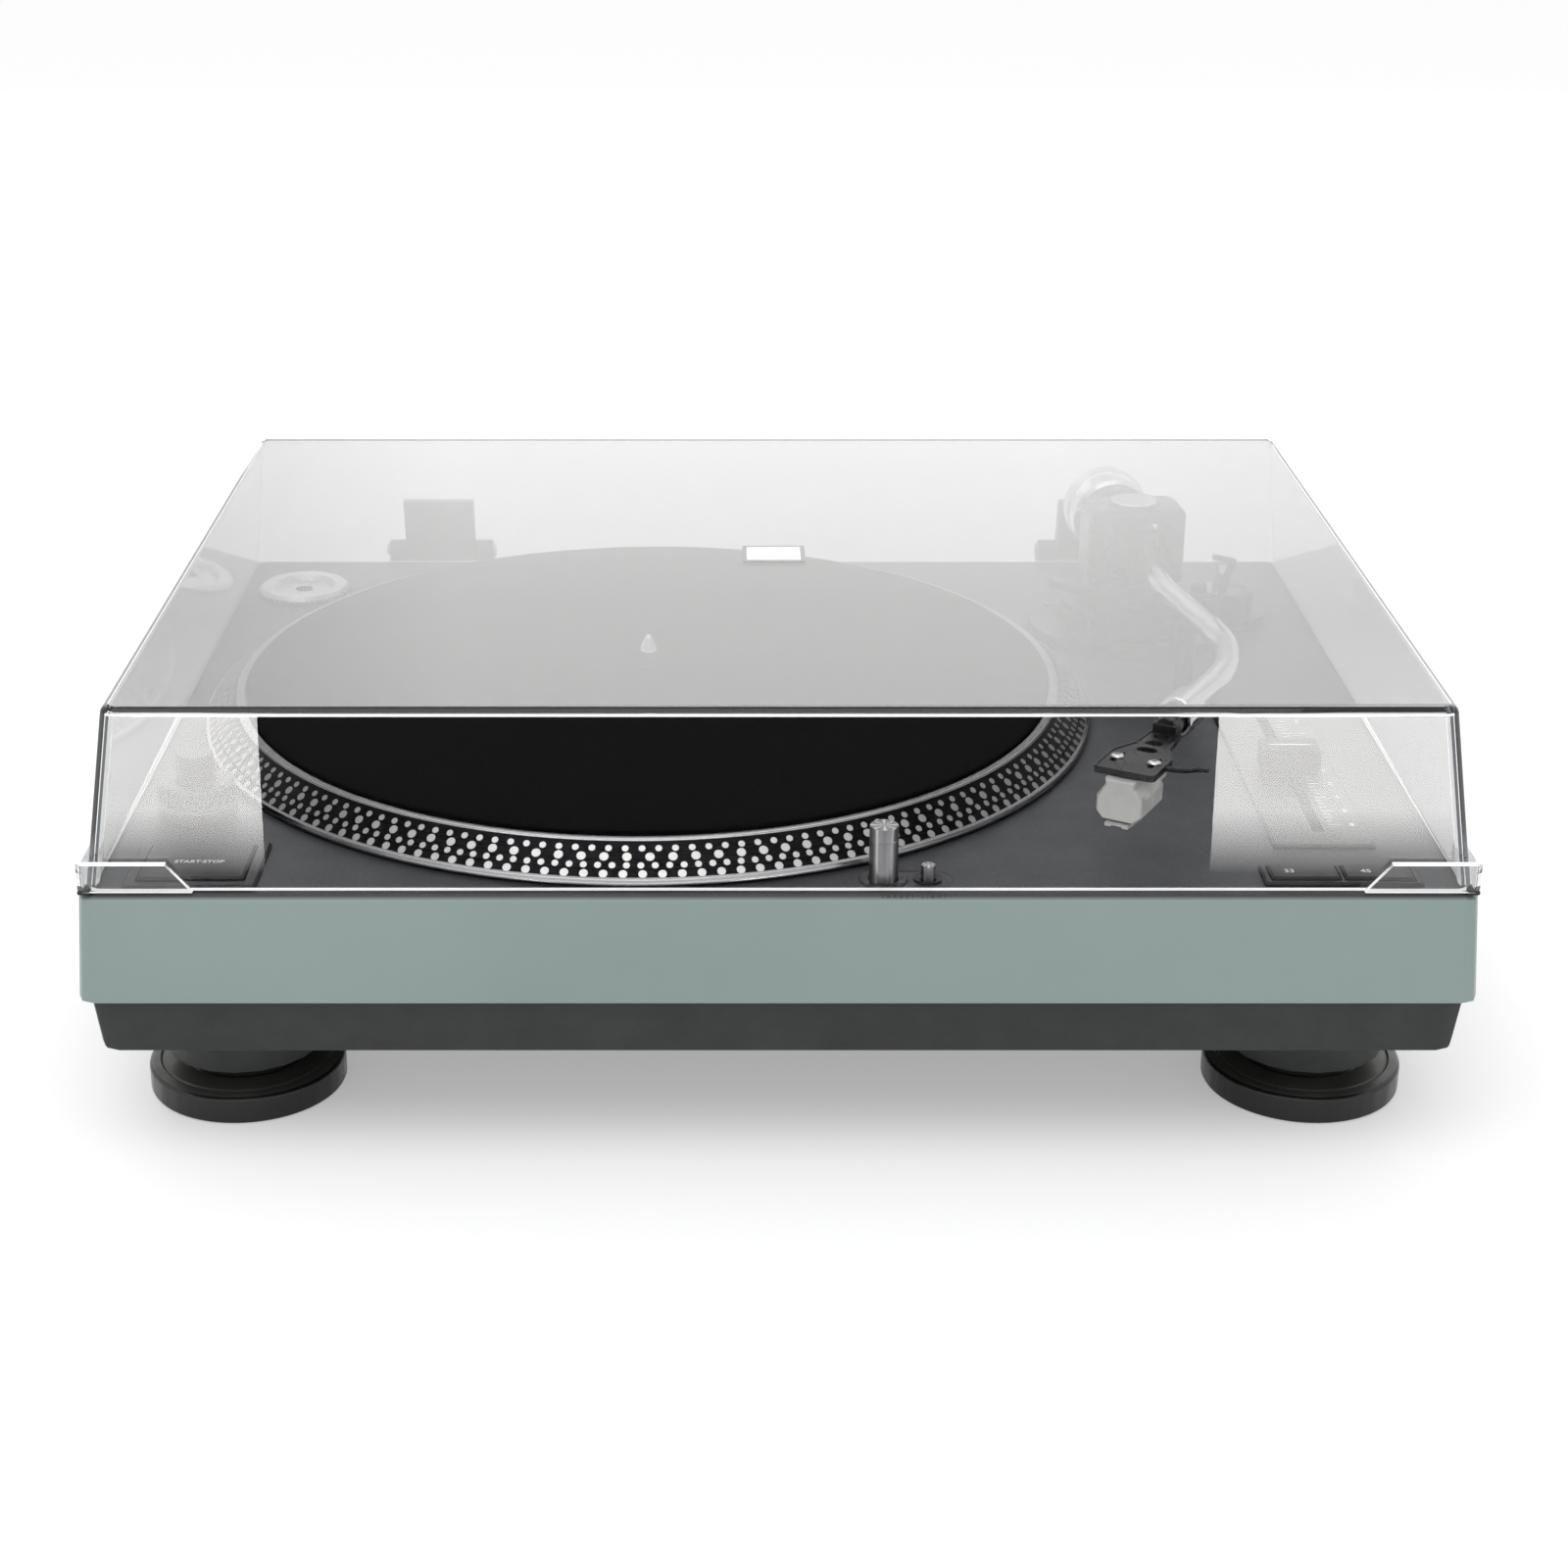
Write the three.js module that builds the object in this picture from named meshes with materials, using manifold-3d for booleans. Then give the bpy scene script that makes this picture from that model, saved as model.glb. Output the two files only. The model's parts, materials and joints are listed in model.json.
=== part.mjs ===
// A direct-drive record player with an S-shaped tonearm, a hinged clear cover and a pop-up stylus light.
// Millimetres, +X to the right, +Y to the rear, +Z up. The origin is on the table, under the middle.

import * as THREE from 'three';
import { mergeVertices } from 'three/addons/utils/BufferGeometryUtils.js';
import Module from 'manifold-3d';

const wasm = await Module();
wasm.setup();

// Clearances and counts
const seatGap = 0.3;
const runningGap = 0.08;
const slideGap = 0.4;
const overrun = 5;
const fineSides = 42;
const wellSides = 36;
const knobSides = 24;
const roundSides = 20;
const boreSides = 16;
const pinSides = 12;
const coarseSides = 8;
const wireSides = 6;
const cornerSteps = 2;
const coverCornerSteps = 4;

// Plinth: the painted case with the deck as its top
const platterRadius = 165;
const platterSideMargin = 14;
const platterFrontMargin = 6.4;
const platterRearMargin = 8.6;
const armBaseRadius = 40;
const armBaseClearance = 3.754;
const armDirectionDegrees = 23.457;
const armSideMargin = 79.5;
const pivotSpacing = platterRadius + armBaseClearance + armBaseRadius;
const armAcross = pivotSpacing * Math.cos(THREE.MathUtils.degToRad(armDirectionDegrees));
const armBehind = pivotSpacing * Math.sin(THREE.MathUtils.degToRad(armDirectionDegrees));
const plinthWidth = platterSideMargin + platterRadius + armAcross + armSideMargin;
const plinthDepth = platterFrontMargin + 2 * platterRadius + platterRearMargin;
const plinthSide = plinthWidth / 2;
const plinthHeight = 37;
const plinthCorner = 6;
const plinthChamfer = 1.8;
const plinthFlare = 2.4;
const plinthWall = 4;
const deckThickness = 4;
const pillarRadius = 5;
const pillarInset = 13;
const pillarFront = 95;
const pillarRearInset = 90;

// Base pan under the plinth
const panHeight = 20.5;
const panStep = 2.8;
const panInset = panStep - plinthFlare;
const panTaper = 2;
const panEdge = 1.6;
const panWall = 3;
const panFloor = 3;
const panBossRadius = 27.5;
const panBossFlare = 1.5;
const panBossHeight = 22;
const panBossInside = 5;
const ventLength = 46;
const ventWidth = 3.2;
const ventPitch = 8;
const ventCount = 6;
const ventX = 60;
const ventBack = 250;

// Levelling feet
const footInset = 40.5;
const footFront = 56;
const footRadius = 34;
const footThickness = 10.6;
const footChamfer = 1.3;
const footCrown = 0.9;
const footNeckRadius = 21;
const footHeight = 38.5;
const footStudRadius = 5;
const footStudLength = 27;

// Platter, mat, spindle and motor
const platterX = platterSideMargin + platterRadius - plinthSide;
const platterBack = platterFrontMargin + platterRadius;
const armX = platterX + armAcross;
const armBack = platterBack + armBehind;
const armOverhang = 23.646;
const armReach = pivotSpacing + armOverhang;
const platterTop = 11;
const platterLip = 1.2;
const platterLipWidth = 3;
const platterLipInset = 12.4;
const platterLipRadius = platterRadius - platterLipInset;
const bandInset = 1.4;
const bandRadius = platterRadius - bandInset;
const bandLow = 3.1;
const bandHigh = 11.5;
const rimClearance = 0.9;
const rimHeight = 1.5;
const platterPlate = 3.5;
const skirtInset = 10;
const skirtRadius = platterRadius - skirtInset;
const skirtWidth = 7;
const skirtDepth = 7;
const hubRadius = 44;
const hubDepth = 4;
const ribCount = 9;
const ribWidth = 2.6;
const ribDepth = 6;
const matThickness = 2.5;
const matEdge = 0.5;
const spindleRadius = 3.6;
const spindleTop = 26.3;
const spindleTip = 2.6;
const spindleTipRadius = 1.4;
const wellClearance = 2.5;
const wellRadius = skirtRadius + wellClearance;
const wellDepth = 18;
const wellFloor = 3;
const wellWall = 3;
const magnetInner = 25;
const magnetOuter = 42;
const magnetHeight = 6;
const statorRadius = 48;
const statorHole = 17;
const statorBoard = 1.6;
const statorStandoff = 1.5;
const statorStandoffRadius = 3;
const statorStandoffCount = 3;
const coilCount = 6;
const coilRing = 33.5;
const coilRadius = 10;
const coilHeight = 2.8;
const bearingRadius = 8;
const bearingFlange = 14;
const bearingFlangeHeight = 3;
const bearingHigh = 7;
const bearingLow = 36;
const bearingFloor = 2;

// Clear cover and its hinges
const coverInset = 2.6;
const coverFront = 2.4;
const coverRearInset = 4.6;
const coverDepth = plinthDepth - coverFront - coverRearInset;
const coverLift = 1;
const coverTop = 61;
const coverWall = 2.8;
const coverSideTaper = 8.4;
const coverFrontTaper = 6;
const coverRearTaper = 11.5;
const coverEdge = 2.4;
const coverCorner = 5;
const lugHeight = 10;
const lugProud = 2;
const lugLength = 45;
const lugSlant = 8;
const lugSide = 24;
const bumperWidth = 4.5;
const bumperDepth = 8;
const bumperHeight = 0.8;
const hingeInset = 84;
const hingeX = plinthSide - hingeInset;
const hingeProud = 7;
const hingeOverhang = plinthFlare + hingeProud;
const hingePivotBehind = 0.5;
const hingePivotBack = plinthDepth + hingePivotBehind;
const hingePivotHigh = 4.7;
const hingeWidth = 44.5;
const hingeBlockWidth = 29.5;
const hingeKnuckle = 4.3;
const hingePinRadius = 1.5;
const hingeLeafHeight = 29;
const hingeLeafThickness = 8;
const hingeLeafRound = 3.5;
const bevelShare = 0.3;
const hingeTongueDepth = 22;
const pocketWall = 3;
const pinHeadRadius = 2.6;
const pinHeadLength = 1.2;

// Adapter for records with a large hole
const adapterInset = 30;
const adapterX = adapterInset - plinthSide;
const adapterRearInset = 44;
const adapterBack = plinthDepth - adapterRearInset;
const adapterRadius = 19.05;
const adapterBore = 3.75;
const adapterHeight = 9;
const adapterProud = 3;
const adapterLip = 1.5;
const adapterDishRadius = 13;
const adapterDishDepth = 2;
const adapterWall = 2.5;

// Power knob and strobe light tower
const towerDirectionDegrees = 34.916;
const towerClearance = 5.75;
const towerRadius = 6.6;
const towerTop = 23.5;
const towerBelow = 16;
const powerKnobRadius = 13.4;
const towerReach = platterRadius + towerClearance + powerKnobRadius;
const towerX = platterX - towerReach * Math.cos(THREE.MathUtils.degToRad(towerDirectionDegrees));
const towerBack = platterBack - towerReach * Math.sin(THREE.MathUtils.degToRad(towerDirectionDegrees));
const powerKnobHeight = 12;
const powerFlangeRadius = 12;
const powerFlangeHeight = 1.2;
const powerKnobStep = 1;
const lensWidth = 6;
const lensHeight = 5;
const lensDepth = 2.2;
const lensTop = 20;

// Start and stop button
const startInset = 35.5;
const startX = startInset - plinthSide;
const startFront = 5.65;
const startTowerGap = 11.45;
const startWidth = 43;
const startLength = towerBack - powerKnobRadius - startTowerGap - startFront;
const startBack = startFront + startLength / 2;
const startBorder = 3.8;
const startFrameHeight = 1.6;
const startStep = 0.7;
const startCorner = 1;
const startButtonProud = 2.7;
const buttonDepth = 6;
const buttonEdge = 0.8;
const skirtThickness = 1.2;
const frameSkirtDepth = 8;

// Speed buttons
const speedInset = 42.6;
const speedX = plinthSide - speedInset;
const speedBack = 15.8;
const speedFrameWidth = 51;
const speedFrameLength = 15.5;
const speedBorder = 2;
const speedButtonGap = 0.8;
const speedFrameHeight = 1.4;
const speedButtonProud = 2.3;

// Pitch control
const pitchAcross = 36.5;
const pitchX = armX + pitchAcross;
const pitchSpeedGap = 14.45;
const pitchArmShare = 0.3722;
const pitchFront = speedBack + speedFrameLength / 2 + pitchSpeedGap;
const pitchRear = armBack - pitchArmShare * armReach;
const pitchPlateWidth = 34;
const pitchPlateLength = pitchRear - pitchFront;
const pitchBack = (pitchFront + pitchRear) / 2;
const pitchPlateHeight = 1.5;
const pitchSlotWidth = 4;
const pitchKnobWidth = 20;
const pitchKnobLength = 13;
const pitchKnobHeight = 9;
const pitchKnobLift = 1;
const pitchKnobDip = 1.4;
const pitchStemWidth = 2.4;
const pitchStemLength = 7;
const pitchEndMargin = 11.5;
const pitchTravel = (pitchPlateLength - pitchStemLength) / 2 - pitchEndMargin;
const pitchStemDepth = 12;
const pitchPotWidth = 16;
const pitchPotDepth = 13;
const pitchPotMargin = 6;

// Pop-up stylus light
const lightAcross = 80;
const lightX = platterX + lightAcross;
const lightBack = 13.6;
const lightRadius = 4.7;
const lightTop = 19.5;
const lightBelow = 5;
const lightTravel = 17.5;
const lightWindowWidth = 3.2;
const lightWindowHeight = 2.6;
const lightWindowDrop = 4;
const lightWindowDepth = 1.6;
const sleeveWall = 1.8;
const sleeveFlange = 1.3;
const sleeveFlangeHeight = 0.6;
const sleeveMargin = 1.5;
const catchSpacing = 14.5;
const catchX = lightX + catchSpacing;
const catchRadius = 2.3;
const catchTop = 5.6;
const catchTravel = 3;
const catchBelow = 6;
const catchMargin = 3;
const dishRadius = 4.7;
const dishHeight = 0.7;
const dishWall = 0.9;

// Tonearm base, height ring and column
const armHigh = 35.5;
const armBaseHeight = 4;
const skateX = 43;
const skateY = 9.5;
const skateLobe = 14;
const skateRadius = 9.4;
const skateHeight = 9;
const skateStemRadius = 3;
const skateDishInset = 2.4;
const columnRadius = 14;
const columnFlangeRadius = 18;
const columnFlangeHeight = 4;
const columnBelow = 30;
const heightRingRadius = 29;
const heightRingHeight = 9.2;
const heightRingGrip = 6;
const heightRingStep = 1.2;
const bracketHeight = 4;
const bracketRadius = 21;
const bracketWidth = 9;

// Arm lift
const liftRing = 45;
const liftBarWidth = 5;
const liftBarHeight = 3;
const liftBarSteps = 10;
const liftOuterDegrees = 12;
const liftInnerDegrees = 50;
const liftPostDegrees = 22;
const liftPostRadius = 2.2;
const liftBarrelRadius = 5;
const liftBarrelLow = 8;
const liftTravel = 6;
const leverDegrees = 52;
const leverRing = 37;
const leverHubRadius = 4;
const leverHubWidth = 5;
const leverLength = 26;
const leverThickness = 2.4;
const leverEnd = 3.2;
const leverHigh = 22.6;
const leverSlantDegrees = 35;
const leverPinRadius = 1.4;
const leverPinReach = 7.5;

// Yoke, gimbal, arm tube and counterweight
const yokeWidth = 39;
const yokeDepth = 24;
const yokeHigh = 52;
const yokeWall = 6.5;
const yokeBridge = 5;
const yokeFloor = 3;
const yokeRound = 4;
const yokeShaftRadius = 6;
const yokeCapRadius = 10;
const yokeCapHeight = 1.5;
const gimbalWidth = 18;
const gimbalDepth = 18;
const gimbalHeight = 15;
const gimbalPinRadius = 2;
const gimbalPinReach = 5;
const armOutwardDegrees = 4.76;
const tubeRadius = 4.5;
const tubeSides = 8;
const tubeSteps = 26;
const straightShares = [0.08, 0.16, 0.259];
const bendShares = [[0.025, 0.425], [0.0293, 0.529], [-0.001, 0.635]];
const stylusShare = [-0.226, -0.974];
const headAngleDegrees = 33.8;
const tubeEndRun = 52;
const tubeRunStep = 8;
const tubeRunCount = 4;
const stubRadius = 5;
const stubLength = 60;
const weightRadius = 16.5;
const weightLength = 24;
const weightStart = 33;
const weightChamfer = 1.5;
const weightGroove = 0.8;
const weightDialRadius = 14;
const weightDialLength = 5;
const weightHubRadius = 8;

// Headshell, collar, cartridge and stylus
const collarRadius = 6.3;
const collarFront = 45;
const collarLength = 13;
const collarEdge = 0.6;
const shellWidth = 21;
const shellFront = 2;
const shellShoulder = 15;
const shellNeckWidth = 12.5;
const shellNeckBack = 24;
const shellTailWidth = 9.5;
const shellTailBack = 39;
const shellThickness = 2;
const shellDrop = 1.5;
const shellCorner = 2;
const shellSlotSpacing = 12.7;
const shellSlotWidth = 3;
const shellSlotFront = 5;
const shellSlotBack = 14;
const shellHoleWidth = 7;
const shellHoleLength = 4;
const shellHoleFirst = 19.5;
const shellHolePitch = 6.6;
const shellHoleCount = 3;
const plugRadius = 4;
const plugLength = 12;
const liftFingerRadius = 1;
const liftFingerReach = 15;
const liftFingerRise = 4;
const liftFingerBack = 10;
const liftFingerSweep = 2.5;
const cartridgeWidth = 16;
const cartridgeTopWidth = 10.5;
const cartridgeFront = 4.5;
const cartridgeBack = 15.5;
const cartridgeHeight = 14.6;
const cartridgeFlange = 2.6;
const cartridgeWaist = 4.2;
const cartridgeFoot = 2.6;
const cartridgeFootWidth = 11;
const cartridgePinRadius = 0.6;
const cartridgePinLength = 3.5;
const cartridgePinSpacing = 2.6;
const guardWidth = 8;
const guardHeight = 2;
const guardFront = 5.6;
const guardBack = 7;
const cantileverRadius = 0.35;
const tipRadius = 0.45;
const tipHeight = 1;
const stylusAboveMat = 0.5;

// Arm rest and its clip
const restShare = 0.4;
const restFootRadius = 9;
const restFootHeight = 2;
const restStemRadius = 3.6;
const restShelfWidth = 11;
const restShelfDepth = 7;
const restShelfHeight = 4;
const restStopWidth = 6;
const restStopHeight = 9;
const clipSide = 9.6;
const clipHigh = 3.2;
const clipPinRadius = 1.1;
const clipWidth = 2.6;
const clipThickness = 1.8;
const clipClearance = 0.7;
const clipOpenDegrees = 105;

// Rear sockets
const rearRecess = 1.5;
const socketSpan = 79;
const socketX = socketSpan - hingeX;
const socketPanelWidth = 46;
const socketPanelHeight = 20;
const socketPanelDepth = 7;
const socketSpacing = 16;
const socketRadius = 4.2;
const socketLength = 6;
const socketBore = 1.7;
const socketBoreDepth = 8;
const socketMiddle = 20;
const earthSpan = 39;
const earthX = earthSpan - hingeX;
const earthRadius = 4.5;
const earthLength = 5;
const earthStemRadius = 2;
const earthEndShare = 0.7;
const inletSpan = 63;
const inletX = hingeX - inletSpan;
const inletWidth = 27;
const inletHeight = 18;
const inletDepth = 16;
const inletMouthWidth = 19;
const inletMouthHeight = 10;
const inletMouthDepth = 11;
const inletPinRadius = 1.2;
const inletPinSpacing = 8.6;
const inletPinLength = 8;

// Electronics in the case
const boardWidth = 150;
const boardLength = 92;
const boardThickness = 1.6;
const boardStandoff = 5;
const boardStandoffRadius = 3;
const boardInset = 155;
const boardX = boardInset - plinthSide;
const boardBack = 110;
const chipHeightShares = [0.55, 0.35, 0.8, 0.45, 0.6];
const chipSizeShares = [0.16, 0.1, 0.12, 0.2, 0.08];
const chipTallest = 12;
const chipRowShare = 0.28;
const coreWidth = 58;
const coreDepth = 38;
const coreHeight = 26;
const coilBodyWidth = 34;
const coilBodyDepth = 50;
const coilBodyHeight = 20;
const coilBodyRound = 6;
const transformerInset = 95;
const transformerX = plinthSide - transformerInset;
const transformerBack = 150;
const transformerFoot = 2;
const transformerFootWidth = 74;

// Heights measured from the table, and the deck's own frame
const panBottom = footHeight;
const deckHeight = panBottom + panHeight + plinthHeight;
const deckY = -hingeProud / 2;
const hingeBlockFront = coverFront + coverDepth + seatGap;
const back = (distance) => distance - plinthDepth / 2;
const panLow = -plinthHeight - panHeight;
const platterY = back(platterBack);
const armY = back(armBack);
const matTop = platterTop + matThickness;
const bracketLow = armBaseHeight + seatGap + heightRingHeight + seatGap;
const columnTop = bracketLow + bracketHeight + seatGap + columnFlangeHeight;
const cartridgeTop = -shellDrop - shellThickness - seatGap;
const radians = THREE.MathUtils.degToRad;

// Turns a closed geometry into a solid whose faces point out
function solid(geometry) {
  const bare = geometry.clone();
  bare.deleteAttribute('normal');
  bare.deleteAttribute('uv');
  const merged = mergeVertices(bare);
  const position = merged.attributes.position;
  const corners = [new THREE.Vector3(), new THREE.Vector3(), new THREE.Vector3()];
  const kept = [];
  let volume = 0;
  for (let start = 0; start < merged.index.count; start += 3) {
    const face = [0, 1, 2].map((step) => merged.index.getX(start + step));
    if (new Set(face).size < 3) continue;
    face.forEach((vertex, order) => corners[order].fromBufferAttribute(position, vertex));
    volume += corners[0].dot(corners[1].clone().cross(corners[2]));
    kept.push(face);
  }
  if (volume < 0) kept.forEach((face) => face.reverse());
  const vertProperties = new Float32Array(position.array);
  const triVerts = new Uint32Array(kept.flat());
  return new wasm.Manifold(new wasm.Mesh({ numProp: 3, vertProperties, triVerts }));
}

const toSolid = (shape) => (shape.isBufferGeometry ? solid(shape) : shape);

function join(...shapes) {
  return shapes.map(toSolid).reduce((sum, next) => sum.add(next));
}

function cut(base, ...tools) {
  return tools.map(toSolid).reduce((rest, tool) => rest.subtract(tool), toSolid(base));
}

function geometryOf(shape) {
  const { vertProperties, triVerts } = toSolid(shape).getMesh();
  const geometry = new THREE.BufferGeometry();
  geometry.setAttribute('position', new THREE.BufferAttribute(Float32Array.from(vertProperties), 3));
  geometry.setIndex(new THREE.BufferAttribute(Uint32Array.from(triVerts), 1));
  geometry.computeVertexNormals();
  return geometry;
}

// A box between two limits on each axis
function block([left, right], [front, rear], [low, high]) {
  const geometry = new THREE.BoxGeometry(right - left, rear - front, high - low);
  return geometry.translate((left + right) / 2, (front + rear) / 2, (low + high) / 2);
}

const around = (middle, size) => [middle - size / 2, middle + size / 2];

function disc(radius, low, high, x = 0, y = 0, sides = roundSides) {
  const geometry = new THREE.CylinderGeometry(radius, radius, high - low, sides);
  return geometry.rotateX(Math.PI / 2).translate(x, y, (low + high) / 2);
}

// A round bar along X or Y, from one end to the other
function barX(radius, left, right, y = 0, z = 0, sides = roundSides) {
  const geometry = new THREE.CylinderGeometry(radius, radius, right - left, sides);
  return geometry.rotateZ(Math.PI / 2).translate((left + right) / 2, y, z);
}

function barY(radius, front, rear, x = 0, z = 0, sides = roundSides) {
  const geometry = new THREE.CylinderGeometry(radius, radius, rear - front, sides);
  return geometry.translate(x, (front + rear) / 2, z);
}

// A profile of [radius, height] points turned about Z
function revolve(profile, sides = roundSides) {
  const points = profile.map(([radius, high]) => new THREE.Vector2(radius, high));
  return new THREE.LatheGeometry(points, sides).rotateX(Math.PI / 2);
}

// A closed ring profile turned about Z: the first point is met again at the end
const revolveRing = (profile, sides) => revolve([...profile, profile[0]], sides);

function roundedOutline([left, right], [front, rear], radius, steps = cornerSteps) {
  const centres = [[right - radius, rear - radius], [left + radius, rear - radius],
    [left + radius, front + radius], [right - radius, front + radius]];
  const points = [];
  centres.forEach(([x, y], corner) => {
    for (let step = 0; step <= steps; step += 1) {
      const angle = (corner + step / steps) * (Math.PI / 2);
      points.push([x + radius * Math.cos(angle), y + radius * Math.sin(angle)]);
    }
  });
  return points;
}

// A skin over convex outlines of equal point count, each at its own height
function loft(levels) {
  const count = levels[0].outline.length;
  const vertices = levels.flatMap(({ outline, high }) => outline.map(([x, y]) => [x, y, high])).flat();
  const faces = [];
  for (let level = 0; level < levels.length - 1; level += 1) {
    for (let point = 0; point < count; point += 1) {
      const next = (point + 1) % count;
      const [low, high] = [level * count, (level + 1) * count];
      faces.push(low + point, low + next, high + next, low + point, high + next, high + point);
    }
  }
  const top = (levels.length - 1) * count;
  for (let point = 1; point < count - 1; point += 1) {
    faces.push(0, point + 1, point, top, top + point, top + point + 1);
  }
  const geometry = new THREE.BufferGeometry();
  geometry.setAttribute('position', new THREE.Float32BufferAttribute(vertices, 3));
  geometry.setIndex(faces);
  return geometry;
}

function prism(outline, low, high) {
  const shape = new THREE.Shape(outline.map(([x, y]) => new THREE.Vector2(x, y)));
  const geometry = new THREE.ExtrudeGeometry(shape, { depth: high - low, bevelEnabled: false });
  return geometry.translate(0, 0, low);
}

// An outline of [y, z] points drawn out along X
function prismX(outline, left, right) {
  const geometry = prism(outline, left, right);
  return geometry.rotateX(Math.PI / 2).rotateZ(Math.PI / 2);
}

// An outline of [x, z] points drawn out along Y
function prismY(outline, front, rear) {
  return prism(outline, -rear, -front).rotateX(Math.PI / 2);
}

function slab(xLimits, yLimits, low, high, corner, edge) {
  const inner = (limits) => [limits[0] + edge, limits[1] - edge];
  return loft([
    { outline: roundedOutline(xLimits, yLimits, corner), high: low },
    { outline: roundedOutline(xLimits, yLimits, corner), high: high - edge },
    { outline: roundedOutline(inner(xLimits), inner(yLimits), corner), high },
  ]);
}

function roundBar(path, radius, sides, steps) {
  const section = new THREE.Shape();
  section.absarc(0, 0, radius, 0, Math.PI * 2);
  const outline = new THREE.Shape(section.getSpacedPoints(sides).slice(0, sides));
  return new THREE.ExtrudeGeometry(outline, { steps, extrudePath: path, bevelEnabled: false });
}

// Where sub-parts are placed: the deck's frame has its zero at the deck's top, in the plinth's middle
const recordPlayer = new THREE.Group();
const deck = new THREE.Group();
deck.position.set(0, deckY, deckHeight);
recordPlayer.add(deck);

const finish = (color, roughness, metalness = 0) => (
  new THREE.MeshStandardMaterial({ color, roughness, metalness, flatShading: true }));

const finishes = {
  plinth: () => finish(0x94a29e, 0.42),
  pan: () => finish(0x3e423e, 0.6),
  black: () => finish(0x222320, 0.5),
  rubber: () => finish(0x1c1c1b, 0.85),
  clear: () => {
    const material = finish(0xdfe3e2, 0.05);
    material.transparent = true;
    material.opacity = 0.3;
    return material;
  },
  platter: () => finish(0x55585a, 0.35, 0.9),
  mat: () => finish(0x1c1c1c, 0.95),
  steel: () => finish(0xc9cbcc, 0.25, 1),
  brushed: () => finish(0xb9bbbc, 0.35, 1),
  magnet: () => finish(0x3a3a3c, 0.6, 0.3),
  board: () => finish(0x2d5a3c, 0.6),
  ivory: () => finish(0xd8d4cf, 0.4),
  red: () => finish(0x8c1d16, 0.2),
  brass: () => finish(0xb08d4a, 0.35, 1),
};

function add(parent, name, shape, look, [x, y, z] = [0, 0, 0]) {
  const mesh = new THREE.Mesh(geometryOf(shape), finishes[look]());
  mesh.name = name;
  mesh.position.set(x, y, z);
  parent.add(mesh);
  return mesh;
}

const centred = (width, inset) => [-width / 2 + inset, width / 2 - inset];

// Case

function caseOutline(inset, corner = plinthCorner) {
  return roundedOutline(centred(plinthWidth, inset), centred(plinthDepth, inset), corner);
}

const pillarPlaces = [-1, 1].map((sign) => sign * (plinthSide - pillarInset)).flatMap((x) => (
  [pillarFront, plinthDepth - pillarRearInset].map((distance) => [x, back(distance)])));
const footSide = plinthSide - footInset;
const footPlaces = [
  ['front_left', -footSide, back(footFront)],
  ['front_right', footSide, back(footFront)],
  ['rear_left', -footSide, back(plinthDepth - footFront)],
  ['rear_right', footSide, back(plinthDepth - footFront)],
];

const startWell = startBorder - skirtThickness;
const speedWell = speedBorder - skirtThickness;
const rearMiddle = -socketMiddle;

function deckOpenings() {
  const through = [-deckThickness - overrun, overrun];
  const grown = (middle, size, border) => around(middle, size - 2 * border + 2 * seatGap);
  const potLength = pitchPlateLength - 2 * pitchPotMargin;
  const startY = back(startBack);
  const speedY = back(speedBack);
  return [
    block(grown(startX, startWidth, startWell), grown(startY, startLength, startWell), through),
    block(grown(speedX, speedFrameWidth, speedWell), grown(speedY, speedFrameLength, speedWell), through),
    block(grown(pitchX, pitchPotWidth, 0), grown(back(pitchBack), potLength, 0), through),
    disc(towerRadius + seatGap, ...through, towerX, back(towerBack), boreSides),
    disc(lightRadius + slideGap + sleeveWall + seatGap, ...through, lightX, back(lightBack), boreSides),
    disc(catchRadius + slideGap + dishWall + seatGap, ...through, catchX, back(lightBack), pinSides),
    disc(columnRadius + slideGap, ...through, armX, armY),
  ];
}

function hingePockets() {
  return [-hingeX, hingeX].map((x) => block(
    around(x, hingeWidth + 2 * seatGap),
    [back(hingeBlockFront) - seatGap, back(plinthDepth) + plinthFlare + overrun],
    [-hingeTongueDepth - seatGap, overrun],
  ));
}

function rearOpenings() {
  const wall = [back(plinthDepth) - plinthWall - overrun, back(plinthDepth) + plinthFlare + overrun];
  const opening = (x, width, height) => block(
    around(x, width + 2 * seatGap), wall, around(rearMiddle, height + 2 * seatGap));
  return [
    opening(socketX, socketPanelWidth, socketPanelHeight),
    opening(inletX, inletWidth, inletHeight),
    barY(earthStemRadius + seatGap, ...wall, earthX, rearMiddle, coarseSides),
  ];
}

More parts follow.
